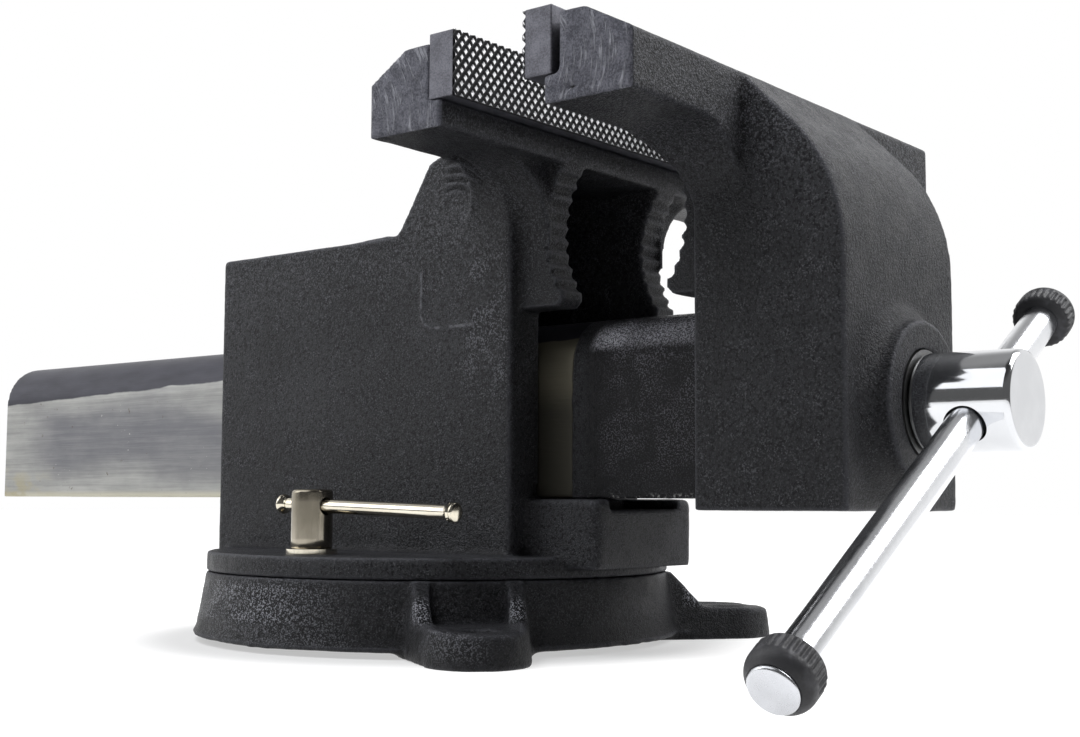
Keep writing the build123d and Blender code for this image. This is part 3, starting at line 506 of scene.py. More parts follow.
def moving_ends_and_slide(f):
    """The sawn ends, and the ground slide behind the edge of the paint."""
    end_mask = f.ramp(f.absolute(f.y), HALF_JAW - 1.0, HALF_JAW - 0.6)
    end_colour, end_height = sawn_metal(f, 122.0, 187.0)
    ragged = f.times(f.noise(4.0, detail=3.0), 1.6)
    slide_mask = f.ramp(f.plus(f.x, ragged), 85.4, 86.4, 1.0, 0.0)
    # Black oxide left on the rounded top, down to a line that sinks to the rear
    wave = f.times(f.noise(22.0, detail=4.0, stretch=(1.0, 0.2, 0.2)), 3.4)
    lean = f.times(f.x, 0.033)
    edge = f.plus(f.minus(f.z, lean), wave)
    skin = f.ramp(edge, 110.9, 111.7)
    drift = f.noise(24.0, detail=4.0, stretch=(0.35, 1.0, 1.0))
    wander = f.times(f.minus(drift, 0.5), 30.0)
    height_in = f.plus(f.z, wander)
    oiled = f.band(height_in, 58.0, 76.0, 86.0, 106.0)
    oiled = f.times(oiled, f.ramp(f.plus(f.x, wander), -275.0, -226.0))
    brushed = f.noise(1.6, detail=4.0, roughness=0.65, stretch=(0.03, 1.0, 1.0))
    clouds = f.noise(9.0, detail=5.0, roughness=0.6, stretch=(0.5, 1.0, 1.0))
    tone = f.plus(f.times(brushed, 0.6), f.times(clouds, 0.4))
    steel = f.mix(f.ramp(tone, 0.30, 0.70), STEEL_DARK, STEEL_LIGHT)
    oiled = f.times(oiled, f.ramp(tone, 0.35, 0.65, 0.92, 0.72))
    steel = f.mix(oiled, steel, STEEL_OILED)
    low = f.ramp(f.z, 58.5, 55.4, 0.0, 0.8)
    steel = f.mix(low, steel, STEEL_WARM)
    rust = f.times(f.ramp(f.noise(3.2, detail=4.0, roughness=0.7), 0.66, 0.72), 0.7)
    steel = f.mix(rust, steel, RUST)
    stain = f.times(f.ramp(f.x, -225.0, -262.0), f.ramp(f.z, 72.0, 60.0))
    stain = f.times(stain, f.ramp(clouds, 0.45, 0.62, 0.0, 0.6))
    steel = f.mix(stain, steel, STAIN)
    nicks = f.times(f.ramp(f.noise(1.8, detail=3.0), 0.70, 0.75), f.ramp(f.noise(40.0), 0.52, 0.62))
    steel = f.mix(nicks, steel, STEEL_NICK)
    # The strip next to the body lies in oil and in painted shade, and its upper part is lightened with
    # painted light
    front = f.ramp(f.x, 60.0, 66.0)
    strip = f.mix(f.ramp(f.z, 84.0, 98.0), STRIP_LOW, STRIP_HIGH)
    steel = f.mix(front, steel, strip)
    streaks = f.noise(5.0, detail=4.0, stretch=(0.3, 1.0, 1.0))
    oxide = f.mix(streaks, OXIDE_DARK, OXIDE_LIGHT)
    # Towards the body the oxide is darkened: painted shade
    oxide = f.mix(f.ramp(f.x, 20.0, 62.0, 0.0, 0.8), oxide, OXIDE_SHADE)
    slide_colour = f.mix(skin, steel, oxide)
    grind = f.noise(0.9, detail=3.0, stretch=(0.05, 1.0, 1.6))
    slide_rough = f.blend(skin, f.ramp(grind, 0.3, 0.7, 0.42, 0.55), 0.42)
    mask = f.larger(end_mask, slide_mask)
    colour = f.mix(slide_mask, end_colour, slide_colour)
    height = f.blend(slide_mask, end_height, f.times(grind, 0.10))
    rough = f.blend(slide_mask, 0.46, slide_rough)
    metal = f.blend(slide_mask, 0.45, f.blend(skin, 0.6, 0.25))
    return mask, colour, height, rough, metal


def steel_finish(name, dark, light, rough, metal=1.0, mark=0.02, stretch=(1.0, 1.0, 1.0), size=1.5):
    """Plain worked steel with faint tool marks and a little uneven tone."""
    f = Finish(name, roughness=rough, metallic=metal)
    tone = f.noise(18.0, detail=3.0)
    marks = f.noise(size, detail=3.0, stretch=stretch)
    colour = f.mix(f.ramp(tone, 0.3, 0.7), dark, light)
    f.set(colour=colour, roughness=f.ramp(marks, 0.25, 0.75, rough * 0.8, rough * 1.25))
    f.bump(marks, mark)
    return f.material


def plate_finish(name, face_x):
    """Blackened jaw steel: the pyramid tips are rubbed bright and the ends are ground."""
    f = Finish(name, roughness=0.4, metallic=0.85)
    depth = f.absolute(f.minus(f.x, face_x))
    tips = f.ramp(depth, 0.28, 0.50, 1.0, 0.0)
    flanks = f.ramp(depth, 1.5, 1.9, 1.0, 0.0)
    grit = f.noise(0.6, detail=3.0, roughness=0.65)
    mottle = f.noise(5.0, detail=3.0)
    tone = f.plus(f.times(grit, 0.6), f.times(mottle, 0.4))
    ground = f.mix(f.ramp(tone, 0.35, 0.65), (0.085, 0.085, 0.10), (0.19, 0.19, 0.22))
    black = f.mix(grit, (0.006, 0.006, 0.007), (0.022, 0.022, 0.025))
    inside = f.ramp(f.absolute(f.y), HALF_JAW - 0.25, HALF_JAW - 0.05, 1.0, 0.0)
    inner = f.times(flanks, inside)
    colour = f.mix(inner, ground, black)
    colour = f.mix(f.times(tips, inner), colour, (0.90, 0.90, 0.92))
    rough = f.blend(inner, f.ramp(grit, 0.3, 0.7, 0.42, 0.55), f.blend(tips, 0.6, 0.32))
    f.set(colour=colour, roughness=rough, metallic=f.blend(inner, 0.6, f.blend(tips, 0.1, 0.9)))
    f.bump(grit, 0.06)
    return f.material


def rubber_finish():
    """Black rubber with a little pale dust."""
    f = Finish("black_rubber", roughness=0.5, specular=0.4)
    grit = f.noise(0.5, detail=2.0)
    dust = f.ramp(f.noise(4.0, detail=4.0), 0.48, 0.72, 0.0, 0.45)
    colour = f.mix(dust, (0.034, 0.034, 0.037), (0.150, 0.150, 0.164))
    f.set(colour=colour, roughness=f.ramp(grit, 0.3, 0.7, 0.42, 0.6))
    f.bump(grit, 0.05)
    return f.material


def base_glint_zone(f):
    """Where the base's paint is darkened under bright specks painted as glints: high on the cone on its
    -X side, where the light falls, fading towards the front, on the webs and a little on the lugs.
    """
    high = f.band(f.z, 7.5, 12.5, 22.5, 25.6)
    uneven = f.ramp(f.noise(30.0, detail=2.0), 0.38, 0.58, 0.35, 1.0)
    lugs = f.times(f.ramp(f.absolute(f.y), 84.0, 92.0), f.ramp(f.z, 1.0, 6.0))
    front = f.ramp(f.x, -5.0, 40.0, 1.0, 0.08)
    cone = f.times(f.times(high, uneven), front)
    reach = f.length(f.x, f.y)
    webs = f.times(f.ramp(reach, 96.5, 99.5), f.ramp(f.z, 11.0, 15.0))
    return f.larger(f.larger(cone, webs), f.times(lugs, 0.35))


def wet_paint(f):
    """Thick glossy paint on the slide in front of the body, where the paint is also darkened as painted
    shade and carries painted glints.
    """
    along = f.band(f.x, 86.0, 96.0, *PAINTED_END)
    return f.times(along, f.ramp(f.z, 121.0, 120.0))


def jaw_glint_zone(f):
    """Where the moving jaw's paint is darkened under bright specks painted as glints: mostly on the
    jaw's sloping back from 150 mm up, where the light from above falls, and faintly elsewhere, the slide
    in front of the body included.
    """
    rough_slide = f.band(f.x, 95.0, 99.0, *PAINTED_END)
    rough_slide = f.times(rough_slide, f.ramp(f.z, 121.0, 120.0))
    high = f.times(f.ramp(f.z, 150.0, 176.0), 0.6)
    return f.larger(f.larger(f.times(rough_slide, 0.05), high), 0.05)


def body_zone(f):
    """Pale flecks over darkened paint: a patch near the body's front edge and a little more towards its
    top.
    """
    patch = f.band(f.x, 40.0, 54.0, 67.0, 70.0)
    patch = f.times(patch, f.band(f.z, 84.0, 98.0, 136.0, 150.0))
    patch = f.times(patch, f.ramp(f.noise(11.0, detail=2.0), 0.42, 0.60, 0.05, 0.55))
    return f.larger(patch, f.ramp(f.z, 120.0, 152.0, 0.03, 0.25))


body_paint = cast_finish("body_enamel", 0.62, 0.6, body_zone, fixed_ends, mark=core_mark)
jaw_paint = cast_finish("moving_jaw_enamel", 0.70, 0.4, jaw_glint_zone, moving_ends_and_slide, wet_paint)
base_paint = cast_finish("base_enamel", 0.90, 1.0, base_glint_zone, deeper=0.45)
fixed_plate_steel = plate_finish("fixed_jaw_plate_steel", FIXED_FACE)
moving_plate_steel = plate_finish("moving_jaw_plate_steel", MOVING_FACE)
bright_steel = steel_finish(
    "turned_steel", (0.38, 0.38, 0.38), (0.52, 0.52, 0.52), 0.30, mark=0.03, stretch=(1.0, 0.1, 0.1)
)
dark_steel = steel_finish(
    "oiled_dark_steel", (0.10, 0.10, 0.10), (0.18, 0.18, 0.175), 0.40, metal=0.9, mark=0.03
)
chrome = steel_finish("polished_chrome", (0.66, 0.67, 0.69), (0.74, 0.75, 0.77), 0.085, mark=0.004)
bar_chrome = steel_finish("ground_chrome", (0.76, 0.77, 0.80), (0.84, 0.85, 0.87), 0.21, mark=0.004)
button_steel = steel_finish("button_steel", (0.52, 0.53, 0.55), (0.62, 0.63, 0.66), 0.24, mark=0.006)
bolt_nickel = steel_finish(
    "turned_nickel", (0.26, 0.235, 0.185), (0.44, 0.40, 0.33), 0.20, stretch=(1.0, 1.0, 0.03), size=2.4
)
nickel = steel_finish(
    "warm_nickel", (0.66, 0.61, 0.50), (0.76, 0.71, 0.60), 0.12, mark=0.006, stretch=(1.0, 1.0, 0.2)
)
rubber = rubber_finish()


# Castings
def fixed_weight(co):
    """How freely each point of the fixed jaw is rounded, from 0 to 1."""
    x, y, z = co.T
    w = np.ones(len(co))
    w[(np.abs(y) > 95) & (z > BAR_UNDER - 4)] = 0.35
    w[(z > LEDGE_Z - 3) & (x > FIXED_BACK - 8)] = 0.15
    w[(np.abs(y) > 20) & (np.abs(y) < 38) & (x > 72) & (z > 118) & (z < 178)] = 0.08
    w[(np.abs(y) < 24.5) & (z < 121.5) & (z > 49)] = 0.15
    w[z < 30] = 0.3
    return w


def rough_skin(co, normals, amount, keep):
    """Uneven cast surface: slight waviness and small lumps along the normal."""
    lift = 0.13 * value_noise(co, 24.0, 3) + 0.07 * value_noise(co, 7.0, 5)
    lift += 0.05 * value_noise(co, 3.0, 7) + 0.035 * value_noise(co, 1.7, 11)
    return co + normals * (lift * amount * keep)[:, None]


def ridge_line(x, z, path, width):
    """1 on a drawn line of points (x, z), fading to 0 at that width."""
    nearest = np.full(len(x), 1e9)
    for (ax, az), (bx, bz) in zip(path[:-1], path[1:]):
        dx, dz = bx - ax, bz - az
        t = np.clip(((x - ax) * dx + (z - az) * dz) / (dx * dx + dz * dz), 0, 1)
        nearest = np.minimum(nearest, np.hypot(x - ax - t * dx, z - az - t * dz))
    return 1 - smoothstep(0.0, width, nearest)


def fixed_shape(co, normals):
    """Casting marks of the fixed jaw: a core print ridge, wrinkles, two dents and a lump."""
    x, y, z = co.T
    keep = np.ones(len(co))
    keep[(np.abs(y) > 100) & (z > BAR_UNDER - 2)] = 0.25
    keep[(z > LEDGE_Z - 2) & (x > FIXED_BACK - 3)] = 0.0
    keep[(np.abs(y) < 24.5) & (z < 121.5)] = 0.0
    keep[z < 36] = 0.35
    keep[z < 27.2] = 0.0
    co = rough_skin(co, normals, 1.0, keep)
    side = smoothstep(36.0, 39.5, np.abs(y)) * (np.abs(y) < 75)
    path = [(26.4, 139.0)]
    for degrees in range(0, 91, 15):
        a = math.radians(degrees)
        path.append((26.6 + 6.0 * (1 - math.cos(a)), 124.0 - 6.0 * math.sin(a)))
    path.append((52.0, 117.2))
    wobble = 0.7 + 0.5 * value_noise(co, 6.0, 21)
    mark = 0.62 * ridge_line(x, z, path, 1.6) * wobble * (np.abs(y) < 42)
    around = np.hypot(x - 42.0, z - 153.0) + 1.5 * value_noise(co, 11.0, 31)
    folds = np.sin(around * 2 * math.pi / 3.4)
    patch = between(36, 41, 62, 68, x) * between(166, 169, 182, 186, z)
    mark += 0.85 * folds * patch * (np.abs(y) < 66)
    mark -= 0.8 * np.exp(-(((x - 55.0) / 3.6) ** 2 + ((z - 160.0) / 2.2) ** 2)) * (np.abs(y) < 46)
    mark -= 0.35 * np.exp(-(((x + 22.8) / 1.6) ** 2 + ((z - 117.6) / 1.3) ** 2)) * (np.abs(y) < 42)
    lump = np.exp(-(((x - 3.0) / 9.0) ** 2 + ((z - 154.0) / 2.4) ** 2)) * (np.abs(y) > 33)
    mark += (0.9 + 0.5 * value_noise(co, 4.0, 41)) * lump
    # The lower corners of the channel are relieved, so that the slide runs clear
    relief = (np.abs(y) > 19) & (np.abs(y) < 27) & (z > 50) & (z < 60) & (x > -95) & (x < 75)
    return co + normals * (mark * side - 0.45 * relief)[:, None]


def moving_weight(co):
    """How freely each point of the moving jaw is rounded, from 0 to 1."""
    x, y, z = co.T
    w = np.ones(len(co))
    w[(np.abs(y) > 95) & (z > BAR_UNDER - 4)] = 0.35
    w[(z > LEDGE_Z - 3) & (x < MOVING_BACK + 8)] = 0.12
    w[(np.abs(y) > 20) & (np.abs(y) < 38) & (x < 146) & (x > 100) & (z > 122) & (z < 178)] = 0.08
    w[(x < 146.5) & (z < 121)] = 0.35
    w[(x < 90) & (z < 121)] = 0.2
    w[(x > 203) & (x < 213)] = 0.6
    return w


def moving_shape(co, normals):
    """Cast skin of the moving jaw, smooth on the ground slide and coarse on its painted part."""
    x, y, z = co.T
    keep = np.ones(len(co))
    keep[(np.abs(y) > 100) & (z > BAR_UNDER - 2)] = 0.25
    keep[(z > LEDGE_Z - 2) & (x < MOVING_BACK + 3)] = 0.0
    slide = (np.abs(y) < 24) & (z < 120.8) & (x < 146)
    keep[slide] = 0.0
    co = rough_skin(co, normals, 1.0, keep)
    painted = slide * smoothstep(94, 98, x) * (np.abs(y) > 21)
    grain = 0.16 * value_noise(co, 2.4, 51) + 0.09 * value_noise(co, 1.5, 53)
    top = slide * smoothstep(86, 88, x) * smoothstep(99.5, 102, z)
    grain_top = 0.14 * value_noise(co, 2.6, 57) + 0.07 * value_noise(co, 1.5, 59)
    chip = -1.1 * np.exp(-(((x - 143.5) / 1.9) ** 2 + ((z - 177.5) / 1.0) ** 2)) * (y < -97)
    lift = np.minimum(grain * painted + grain_top * top, 0.2) + chip
    return co + normals * lift[:, None]


def base_weight(co):
    """How freely each point of the swivel base is rounded, from 0 to 1."""
    x, y, z = co.T
    radius = np.hypot(x, y)
    w = np.ones(len(co))
    w[radius < 88] = 0.15
    w[(z > 24.0) & (radius < 93)] = 0.3
    return w


def base_shape(co, normals):
    """Coarse sand skin on the cone and the lugs, and a slight lip round the foot."""
    x, y, z = co.T
    radius = np.hypot(x, y)
    keep = np.ones(len(co))
    keep[(radius < 89) | (z < 0.8)] = 0.0
    keep[z > 25.4] = 0.0
    co = rough_skin(co, normals, 1.2, keep)
    outward = between(90.5, 92.0, 99, 101, radius)
    lip = 0.75 * np.exp(-(((z - 3.4) / 1.3) ** 2)) * outward
    lip += 0.10 * value_noise(co, 2.2, 61) * keep
    flat = normals.copy()
    flat[:, 2] = 0
    return co + flat * lip[:, None]


VOXEL = 1.0
fixed_casting = casting("static_body", "fixed_jaw_casting", VOXEL, 5, fixed_weight, fixed_shape)
finish_piece(fixed_casting, "fixed_jaw", "cast_body", body_paint, "static_body")
moving_casting = casting("moving_jaw", "moving_jaw_casting", VOXEL, 5, moving_weight, moving_shape)
finish_piece(moving_casting, "sliding_jaw", "cast_body", jaw_paint, "moving_jaw")
base_casting = casting("swivel_base", "swivel_base_casting", VOXEL, 9, base_weight, base_shape)
finish_piece(base_casting, "base", "cast_base", base_paint, "swivel_base")


# Jaw plates
def serrated_plate(name, face_x, back_x, seed):
    """A jaw plate whose working face is cut into staggered pyramids with small worn flats."""
    pitch_y = 3.6
    pitch_z = 2.1
    depth = 1.5
    flat = 0.33
    most_wear = 0.14
    out = 1 if face_x > back_x else -1
    columns = int(round(2 * HALF_JAW / (pitch_y / 2)))
    rows = int(round((PLATE_TOP - LEDGE_Z) / pitch_z))
    step_y = 2 * HALF_JAW / columns
    step_z = (PLATE_TOP - LEDGE_Z) / rows
    foot_x = face_x - out * depth
    verts = []
    faces = []
    index = {}

    def place(j, k, dy, dz, x):
        key = (j, k, dy, dz)
        if key not in index:
            y = min(max(-HALF_JAW + j * step_y + dy * step_y, -HALF_JAW), HALF_JAW)
            z = min(max(LEDGE_Z + k * step_z + dz * step_z, LEDGE_Z), PLATE_TOP)
            index[key] = len(verts)
            verts.append((x, y, z))
        return index[key]

    def add(face):
        if len(set(face)) > 2:
            faces.append(face if out > 0 else face[::-1])

    # Tips stand where the sum is even. Each has a flat of four corners and stands on its neighbours
    for j in range(columns + 1):
        for k in range(rows + 1):
            if (j + k) % 2:
                continue
            wear_and_glint = most_wear * float(hashed(np.int64(j), np.int64(k), np.int64(seed), 9))
            tip_x = face_x - out * wear_and_glint
            left = place(j, k, -flat, 0, tip_x)
            low = place(j, k, 0, -flat, tip_x)
            right = place(j, k, flat, 0, tip_x)
            high = place(j, k, 0, flat, tip_x)
            add((left, low, right, high))
            foot = {}
            for way, a, b in (
                ("left", j - 1, k),
                ("low", j, k - 1),
                ("right", j + 1, k),
                ("high", j, k + 1),
            ):
                if 0 <= a <= columns and 0 <= b <= rows:
                    foot[way] = place(a, b, 0, 0, foot_x)
            for first, second, inner, other in (
                ("left", "low", left, low),
                ("low", "right", low, right),
                ("right", "high", right, high),
                ("high", "left", high, left),
            ):
                if first in foot and second in foot:
                    add((foot[first], foot[second], other, inner))
    front = make_object(name + "_teeth", verts, faces, smooth=False)
    bm = bmesh.new()
    bm.from_mesh(front.data)
    bmesh.ops.remove_doubles(bm, verts=bm.verts, dist=1e-7)
    # The solid behind the teeth, with softly broken edges
    root_x = foot_x + out * 0.25
    block = bmesh.ops.create_cube(bm, size=1.0)
    low, high = sorted((root_x, back_x))
    for v in block["verts"]:
        v.co = Vector(
            (
                (low if v.co.x < 0 else high) * MM,
                math.copysign(HALF_JAW, v.co.y) * MM,
                (LEDGE_Z if v.co.z < 0 else PLATE_TOP) * MM,
            )
        )
    kept_x = root_x * MM
    edges = [e for e in bm.edges if all(v in block["verts"] for v in e.verts)]
    edges = [e for e in edges if not all(abs(v.co.x - kept_x) < 1e-7 for v in e.verts)]
    bmesh.ops.bevel(bm, geom=edges, offset=0.45 * MM, segments=2, affect="EDGES", profile=0.5)
    bm.to_mesh(front.data)
    bm.free()
    front.name = name
    front.data.name = name
    return front


for tag, node, face_x, back_x, body, steel in (
    ("fixed", "static_jaw_plate", FIXED_FACE, FIXED_BACK, "fixed_jaw", fixed_plate_steel),
    ("moving", "moving_jaw_plate", MOVING_FACE, MOVING_BACK, "sliding_jaw", moving_plate_steel),
):
    plate = serrated_plate(tag + "_jaw_serrated_plate", face_x, back_x, 3)
    finish_piece(plate, body, "jaw_steel", steel, node)


# Spindle and handle
HANDLE_WAY = Vector((0, math.cos(HANDLE_TILT), math.sin(HANDLE_TILT)))
HANDLE_CENTRE = Vector((HANDLE_X, 0, SPINDLE_Z))
HANDLE_LOWER = 146.0
HANDLE_UPPER = 64.8
SHAFT_RADIUS = 11.95
HEAD_RADIUS = 16.1
RIBS = 28


def drill(obj, cutter):
    """Cuts the cutter out of a piece and throws the cutter away."""
    cut = obj.modifiers.new("cross_hole", "BOOLEAN")
    cut.operation = "DIFFERENCE"
    cut.solver = "EXACT"
    cut.object = cutter
    graph = bpy.context.evaluated_depsgraph_get()
    mesh = bpy.data.meshes.new_from_object(obj.evaluated_get(graph))
    obj.modifiers.clear()
    obj.data = mesh
    mesh.polygons.foreach_set("use_smooth", [True] * len(mesh.polygons))
    bpy.data.objects.remove(cutter)


def spindle_thread():
    """The threaded shaft: a square thread of 6 mm lead with eased corners."""
    lead = 6.0
    root = 9.6
    start = -195.0
    ending = 150.0
    columns = 48
    step = 0.5
    stations = np.arange(start, ending + step, step)
    verts = []
    for x in stations:
        for j in range(columns):
            a = 2 * math.pi * j / columns
            phase = ((x - start) / lead - j / columns) % 1.0
            lift = between(0.04, 0.12, 0.52, 0.60, phase)
            fade = smoothstep(ending - 10, ending - 3, x)
            lead_in = 1 - 0.16 * (1 - smoothstep(start, start + 3, x))
            r = (root + (SHAFT_RADIUS - root) * max(float(lift), float(fade))) * lead_in
            verts.append((x, r * math.sin(a), SPINDLE_Z + r * math.cos(a)))
    faces = grid_faces(len(stations), columns, closed_columns=True)
    faces.append(tuple(range(columns))[::-1])
    last = (len(stations) - 1) * columns
    faces.append(tuple(range(last, last + columns)))
    return make_object("spindle_thread", verts, faces)


def spindle_head():
    """The shaft in front of the thread and the cross-drilled head with its rounded rims."""
    r = HEAD_RADIUS
    profile = [(149.0, 0.0), (149.0, SHAFT_RADIUS), (HEAD_START - 0.001, SHAFT_RADIUS)]
    profile += [(HEAD_START, 14.2), (HEAD_START + 0.4, 15.3), (HEAD_START + 1.2, 15.9)]
    profile += [(HEAD_START + 2.0, r), (HEAD_END - 2.2, r)]
    for step in range(1, 10):
        a = math.radians(9 * step)
        profile.append((HEAD_END - 2.2 + 2.2 * math.sin(a), r - 2.0 + 2.0 * math.cos(a)))
    profile += [(HEAD_END, 13.6), (HEAD_END, 13.2), (HEAD_END, 7.0), (HEAD_END, 0.0)]
    head = lathe("spindle_head", profile, (0, 0, SPINDLE_Z), (1, 0, 0), 128)
    bore = [(-30, 0), (-30, 6.9), (-16.4, 6.9), (-14.6, 6.25), (-13.6, 6.0)]
    bore += [(-x, radius) for x, radius in bore[::-1]]
    cutter = lathe("cutter", bore, HANDLE_CENTRE, HANDLE_WAY, 64)
    drill(head, cutter)
    sharpen(head, 30)
    return head


finish_piece(spindle_thread(), "screw", "plain_steel", bright_steel, "spindle")
finish_piece(spindle_head(), "screw", "chrome", chrome, "spindle")


def ribbed(along, radius, angle):
    """Radius of the rubber ring, with moulded ribs round the inner half of its band."""
    if radius < 8.9:
        return radius
    groove = 0.5 - 0.5 * math.cos(RIBS * angle)
    reach = float(between(0.4, 1.2, 5.4, 6.6, along))
    return radius - 0.62 * reach * groove ** 1.3


def end_fittings(tag, reach, sign):
    """A ribbed rubber ring and its domed end button at one end of the handle."""
    way = HANDLE_WAY * sign
    seat = HANDLE_CENTRE + way * (reach - 5.3)
    ring = [(0.0, 5.95), (0.0, 8.2), (0.12, 8.8), (0.45, 9.3), (1.0, 9.65), (1.6, 9.8)]
    ring += [(1.6 + 4.4 * k / 8, 9.8) for k in range(1, 9)]
    ring += [(6.6, 9.76), (7.3, 9.66), (8.0, 9.45), (8.7, 9.12), (9.3, 8.68), (9.8, 8.15), (10.2, 7.7)]
    ring += [(10.45, 7.45), (10.6, 7.2), (10.5, 7.0), (10.0, 5.95)]
    grip = lathe("handle_grip_ring_" + tag, ring + [ring[0]], seat, way, RIBS * 10, ribbed)
    finish_piece(grip, "handle", "rubber", rubber, "handle_grip_" + tag)
    dome = [(10.1, 0.0), (10.1, 6.5), (10.4, 6.95), (10.9, 7.1)]
    for step in range(1, 10):
        a = math.radians(10 * step)
        dome.append((11.0 + 1.1 * math.sin(a), 5.8 + 1.3 * math.cos(a)))
    dome += [(12.3, 4.4), (12.55, 3.0), (12.7, 1.5), (12.75, 0.0)]
    button = lathe("handle_end_button_" + tag, dome, seat, way, 96)
    sharpen(button, 50)
    finish_piece(button, "handle", "chrome", button_steel, "handle_button_" + tag)


end_fittings("lower", HANDLE_LOWER, -1)
end_fittings("upper", HANDLE_UPPER, 1)


def handle_rod():
    """The chromed bar, ground round, with a small lead at each end."""
    lower = -(HANDLE_LOWER + 5.2)
    upper = HANDLE_UPPER + 5.2
    length = upper - lower - 1.0
    profile = [(lower, 0.0), (lower, 5.4), (lower + 0.5, 5.9)]
    profile += [(lower + 0.5 + length * k / 12, 5.9) for k in range(1, 13)]
    profile += [(upper, 5.4), (upper, 0.0)]
    rod = lathe("handle_chromed_bar", profile, HANDLE_CENTRE, HANDLE_WAY, 64)
    sharpen(rod, 40)
    return rod


finish_piece(handle_rod(), "handle", "chrome", bar_chrome, "handle_bar")


# Swivel locks
LOCK_Y = 69.5
LOCK_BAR_Z = 51.8
LOCK_SEAT_Z = 36.0
SAG = math.radians(1.7)
LOCK_BAR_WAY = Vector((math.cos(SAG), 0, -math.sin(SAG)))


def lock_bar_piece(tag, side):
    """Cross bar of a swivel lock: a thin rod with a neck and a flared, riveted end."""
    centre = Vector((0, side * LOCK_Y, LOCK_BAR_Z))
    profile = [(-16.5, 0.0), (-16.48, 2.2), (-16.3, 3.0), (-15.9, 3.5), (-15.3, 3.72)]
    profile += [(-14.7, 3.6), (-14.2, 3.1), (-13.8, 2.5), (-13.4, 2.1), (-12.9, 2.05)]
    profile += [(-12.4, 2.3), (-12.0, 2.55), (-11.6, 2.6)]
    profile += [(-11.6 + 78.2 * k / 12, 2.6) for k in range(1, 13)]
    profile += [(67.4, 2.75), (68.0, 3.15), (68.6, 3.45), (69.0, 3.1), (69.3, 2.9)]
    profile += [(69.8, 3.3), (70.3, 3.5), (70.8, 3.2), (71.0, 2.4), (71.0, 0.0)]
    bar = lathe("swivel_lock_bar_" + tag, profile, centre, LOCK_BAR_WAY, 64)
    sharpen(bar, 60)
    finish_piece(bar, "bar_" + tag, "nickel", nickel, "lock_bar_" + tag)


def lock_bolt_piece(tag, side):
    """Swivel lock bolt: a tall turned head with a cross hole, and its shank down to the nut."""
    profile = [(-25.9, 0.0), (-25.9, 5.2), (-25.2, 5.9), (-0.01, 5.95)]
    profile += [(0.0, 6.9), (0.2, 7.4), (0.6, 7.6)]
    profile += [(0.6 + 19.7 * k / 6, 7.6) for k in range(1, 7)]
    for step in range(1, 8):
        a = math.radians(90 * step / 7)
        profile.append((20.3 + 1.4 * math.sin(a), 6.2 + 1.4 * math.cos(a)))
    profile += [(21.8, 4.0), (21.8, 0.0)]
    seat = (0, side * LOCK_Y, LOCK_SEAT_Z)
    bolt = lathe("swivel_lock_bolt_" + tag, profile, seat, (0, 0, 1), 96)
    bore = [(-12, 0), (-12, 3.4), (-7.6, 3.3), (-6.9, 2.75)]
    bore += [(-x, radius) for x, radius in bore[::-1]]
    cutter = lathe("cutter", bore, (0, side * LOCK_Y, LOCK_BAR_Z), LOCK_BAR_WAY, 48)
    drill(bolt, cutter)
    sharpen(bolt, 40)
    finish_piece(bolt, "lock_" + tag, "nickel", bolt_nickel, "lock_bolt_" + tag)


for tag, side in (("near", -1), ("far", 1)):
    lock_bar_piece(tag, side)
    lock_bolt_piece(tag, side)


# CAD nodes that keep their shape
carried = {
    "static_jaw_pins": dark_steel,
    "moving_jaw_pins": dark_steel,
    "spindle_nut": dark_steel,
    "spindle_nut_screw": dark_steel,
    "lock_nuts": dark_steel,
    "lock_washers": nickel,
    "thrust_washer": dark_steel,
    "spring_washer": bright_steel,
    "spindle_spring": dark_steel,
    "retaining_collar": dark_steel,
    "collar_pin": bright_steel,
}
for name, material in carried.items():
    data = nodes[name].data
    for i in range(max(1, len(data.materials))):
        if i < len(data.materials):
            data.materials[i] = material
        else:
            data.materials.append(material)


# Studio
FLOOR_GLOW = 0.50
GLOW_NEAR = 0.100
GLOW_FAR = 0.140
ROOM_LIGHT = 0.06
ROOM_FRONT = 0.12
ROOM_TOP = 0.34


def floor_material():
    """Matt card that the camera and the reflections see as white, with room for a shadow."""
    material = bpy.data.materials.new("floor_card")
    material.use_nodes = True
    tree = material.node_tree
    shader = tree.nodes["Principled BSDF"]
    shader.inputs["Base Color"].default_value = (0.32, 0.32, 0.32, 1)
    shader.inputs["Roughness"].default_value = 0.9
    shader.inputs["Specular IOR Level"].default_value = 0.1
    path = tree.nodes.new("ShaderNodeLightPath")
    seen = add_math(tree, "MAXIMUM", path.outputs["Is Camera Ray"], path.outputs["Is Glossy Ray"])
    seen = add_math(tree, "MAXIMUM", seen, path.outputs["Is Transmission Ray"])
    # Near the object the card glows less, so that the shadow stays
    spot = tree.nodes.new("ShaderNodeTexCoord")
    reach = tree.nodes.new("ShaderNodeVectorMath")
    reach.operation = "LENGTH"
    tree.links.new(spot.outputs["Object"], reach.inputs[0])
    glow = add_ramp(tree, reach.outputs["Value"], GLOW_NEAR, GLOW_FAR, FLOOR_GLOW, 1.0)
    emit = tree.nodes.new("ShaderNodeEmission")
    emit.inputs["Color"].default_value = (1, 1, 1, 1)
    tree.links.new(add_math(tree, "MULTIPLY", seen, glow), emit.inputs["Strength"])
    both = tree.nodes.new("ShaderNodeAddShader")
    tree.links.new(shader.outputs[0], both.inputs[0])
    tree.links.new(emit.outputs[0], both.inputs[1])
    tree.links.new(both.outputs[0], tree.nodes["Material Output"].inputs["Surface"])
    return material


bpy.ops.mesh.primitive_plane_add(size=12.0, location=(0, 0, 0))
floor = bpy.context.object
floor.name = "studio_floor"
floor.data.materials.append(floor_material())


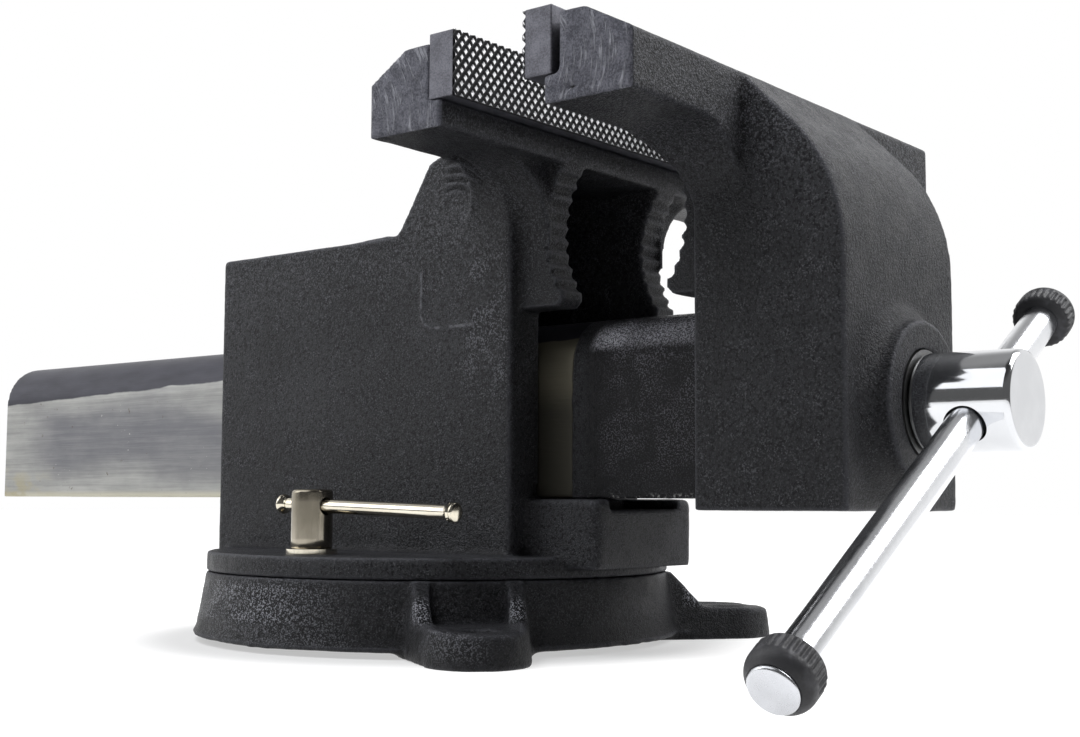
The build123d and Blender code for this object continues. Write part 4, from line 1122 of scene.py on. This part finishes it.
def area_light(name, place, aim, size, power, colour):
    """A rectangular lamp that points at its aim, in metres and watts."""
    data = bpy.data.lights.new(name, "AREA")
    data.shape = "RECTANGLE"
    data.size, data.size_y = size
    data.energy = power
    data.color = colour
    light = bpy.data.objects.new(name, data)
    bpy.context.scene.collection.objects.link(light)
    light.location = place
    light.rotation_euler = (Vector(aim) - Vector(place)).to_track_quat("-Z", "Y").to_euler()
    return light


area_light("key_softbox", (-0.34, -0.73, 1.03), (-0.05, 0.0, 0.10), (1.20, 1.00), 5.2, (0.97, 0.98, 1.0))
area_light("top_softbox", (0.75, 0.45, 1.00), (0.15, 0.0, 0.10), (0.80, 0.80), 12.0, (0.98, 0.985, 1.0))
area_light("left_softbox", (-1.15, -0.95, 0.75), (0.0, 0.0, 0.1), (0.9, 0.9), 5.2, (0.98, 0.99, 1.0))
overhead = area_light(
    "overhead_softbox", (-0.15, -0.42, 1.30), (0.0, 0.0, 0.1), (0.7, 0.6), 10.0, (0.97, 0.98, 1.0)
)
overhead.visible_glossy = False

world = bpy.data.worlds.new("studio")
bpy.context.scene.world = world
world.use_nodes = True
tree = world.node_tree
background = tree.nodes["Background"]
background.inputs["Color"].default_value = (1, 1, 1, 1)
path = tree.nodes.new("ShaderNodeLightPath")
seen = add_math(tree, "MAXIMUM", path.outputs["Is Camera Ray"], path.outputs["Is Transmission Ray"])
# Metal sees the white sweep low behind the object, and a dim room above and in front of it
where = tree.nodes.new("ShaderNodeTexCoord")
across = tree.nodes.new("ShaderNodeVectorMath")
across.operation = "DOT_PRODUCT"
across.inputs[1].default_value = (-math.sin(CAMERA_AZIMUTH), math.cos(CAMERA_AZIMUTH), 0.0)
tree.links.new(where.outputs["Generated"], across.inputs[0])
split = tree.nodes.new("ShaderNodeSeparateXYZ")
tree.links.new(where.outputs["Generated"], split.inputs[0])
behind = add_ramp(tree, across.outputs["Value"], -0.20, 0.30, ROOM_FRONT, 1.0)
ceiling = add_ramp(tree, split.outputs["Z"], 0.50, 0.85, 1.0, ROOM_TOP)
glossy = path.outputs["Is Glossy Ray"]
shiny = add_math(tree, "MULTIPLY", add_math(tree, "MULTIPLY", behind, ceiling), glossy)
diffuse = add_math(tree, "MULTIPLY", add_math(tree, "SUBTRACT", 1.0, glossy), ROOM_LIGHT)
level = add_math(tree, "MAXIMUM", add_math(tree, "MAXIMUM", shiny, diffuse), seen)
tree.links.new(level, background.inputs["Strength"])

# Camera
forward_flat = Vector((-math.sin(CAMERA_AZIMUTH), math.cos(CAMERA_AZIMUTH), 0))
right_flat = Vector((math.cos(CAMERA_AZIMUTH), math.sin(CAMERA_AZIMUTH), 0))
upward = Vector((0, 0, 1))
forward = forward_flat * math.cos(CAMERA_PITCH) + upward * math.sin(CAMERA_PITCH)
up_flat = -forward_flat * math.sin(CAMERA_PITCH) + upward * math.cos(CAMERA_PITCH)
right = right_flat * math.cos(CAMERA_ROLL) + up_flat * math.sin(CAMERA_ROLL)
up = -right_flat * math.sin(CAMERA_ROLL) + up_flat * math.cos(CAMERA_ROLL)
camera_data = bpy.data.cameras.new("camera")
camera_data.lens = CAMERA_LENS
camera_data.sensor_width = SENSOR_WIDTH
camera_data.sensor_fit = "HORIZONTAL"
camera_data.clip_start = 0.01
camera = bpy.data.objects.new("camera", camera_data)
bpy.context.scene.collection.objects.link(camera)
camera.matrix_world = Matrix(
    (
        (right.x, up.x, -forward.x, CAMERA_PLACE.x),
        (right.y, up.y, -forward.y, CAMERA_PLACE.y),
        (right.z, up.z, -forward.z, CAMERA_PLACE.z),
        (0, 0, 0, 1),
    )
)
bpy.context.scene.camera = camera
bpy.context.scene.view_settings.view_transform = "Standard"
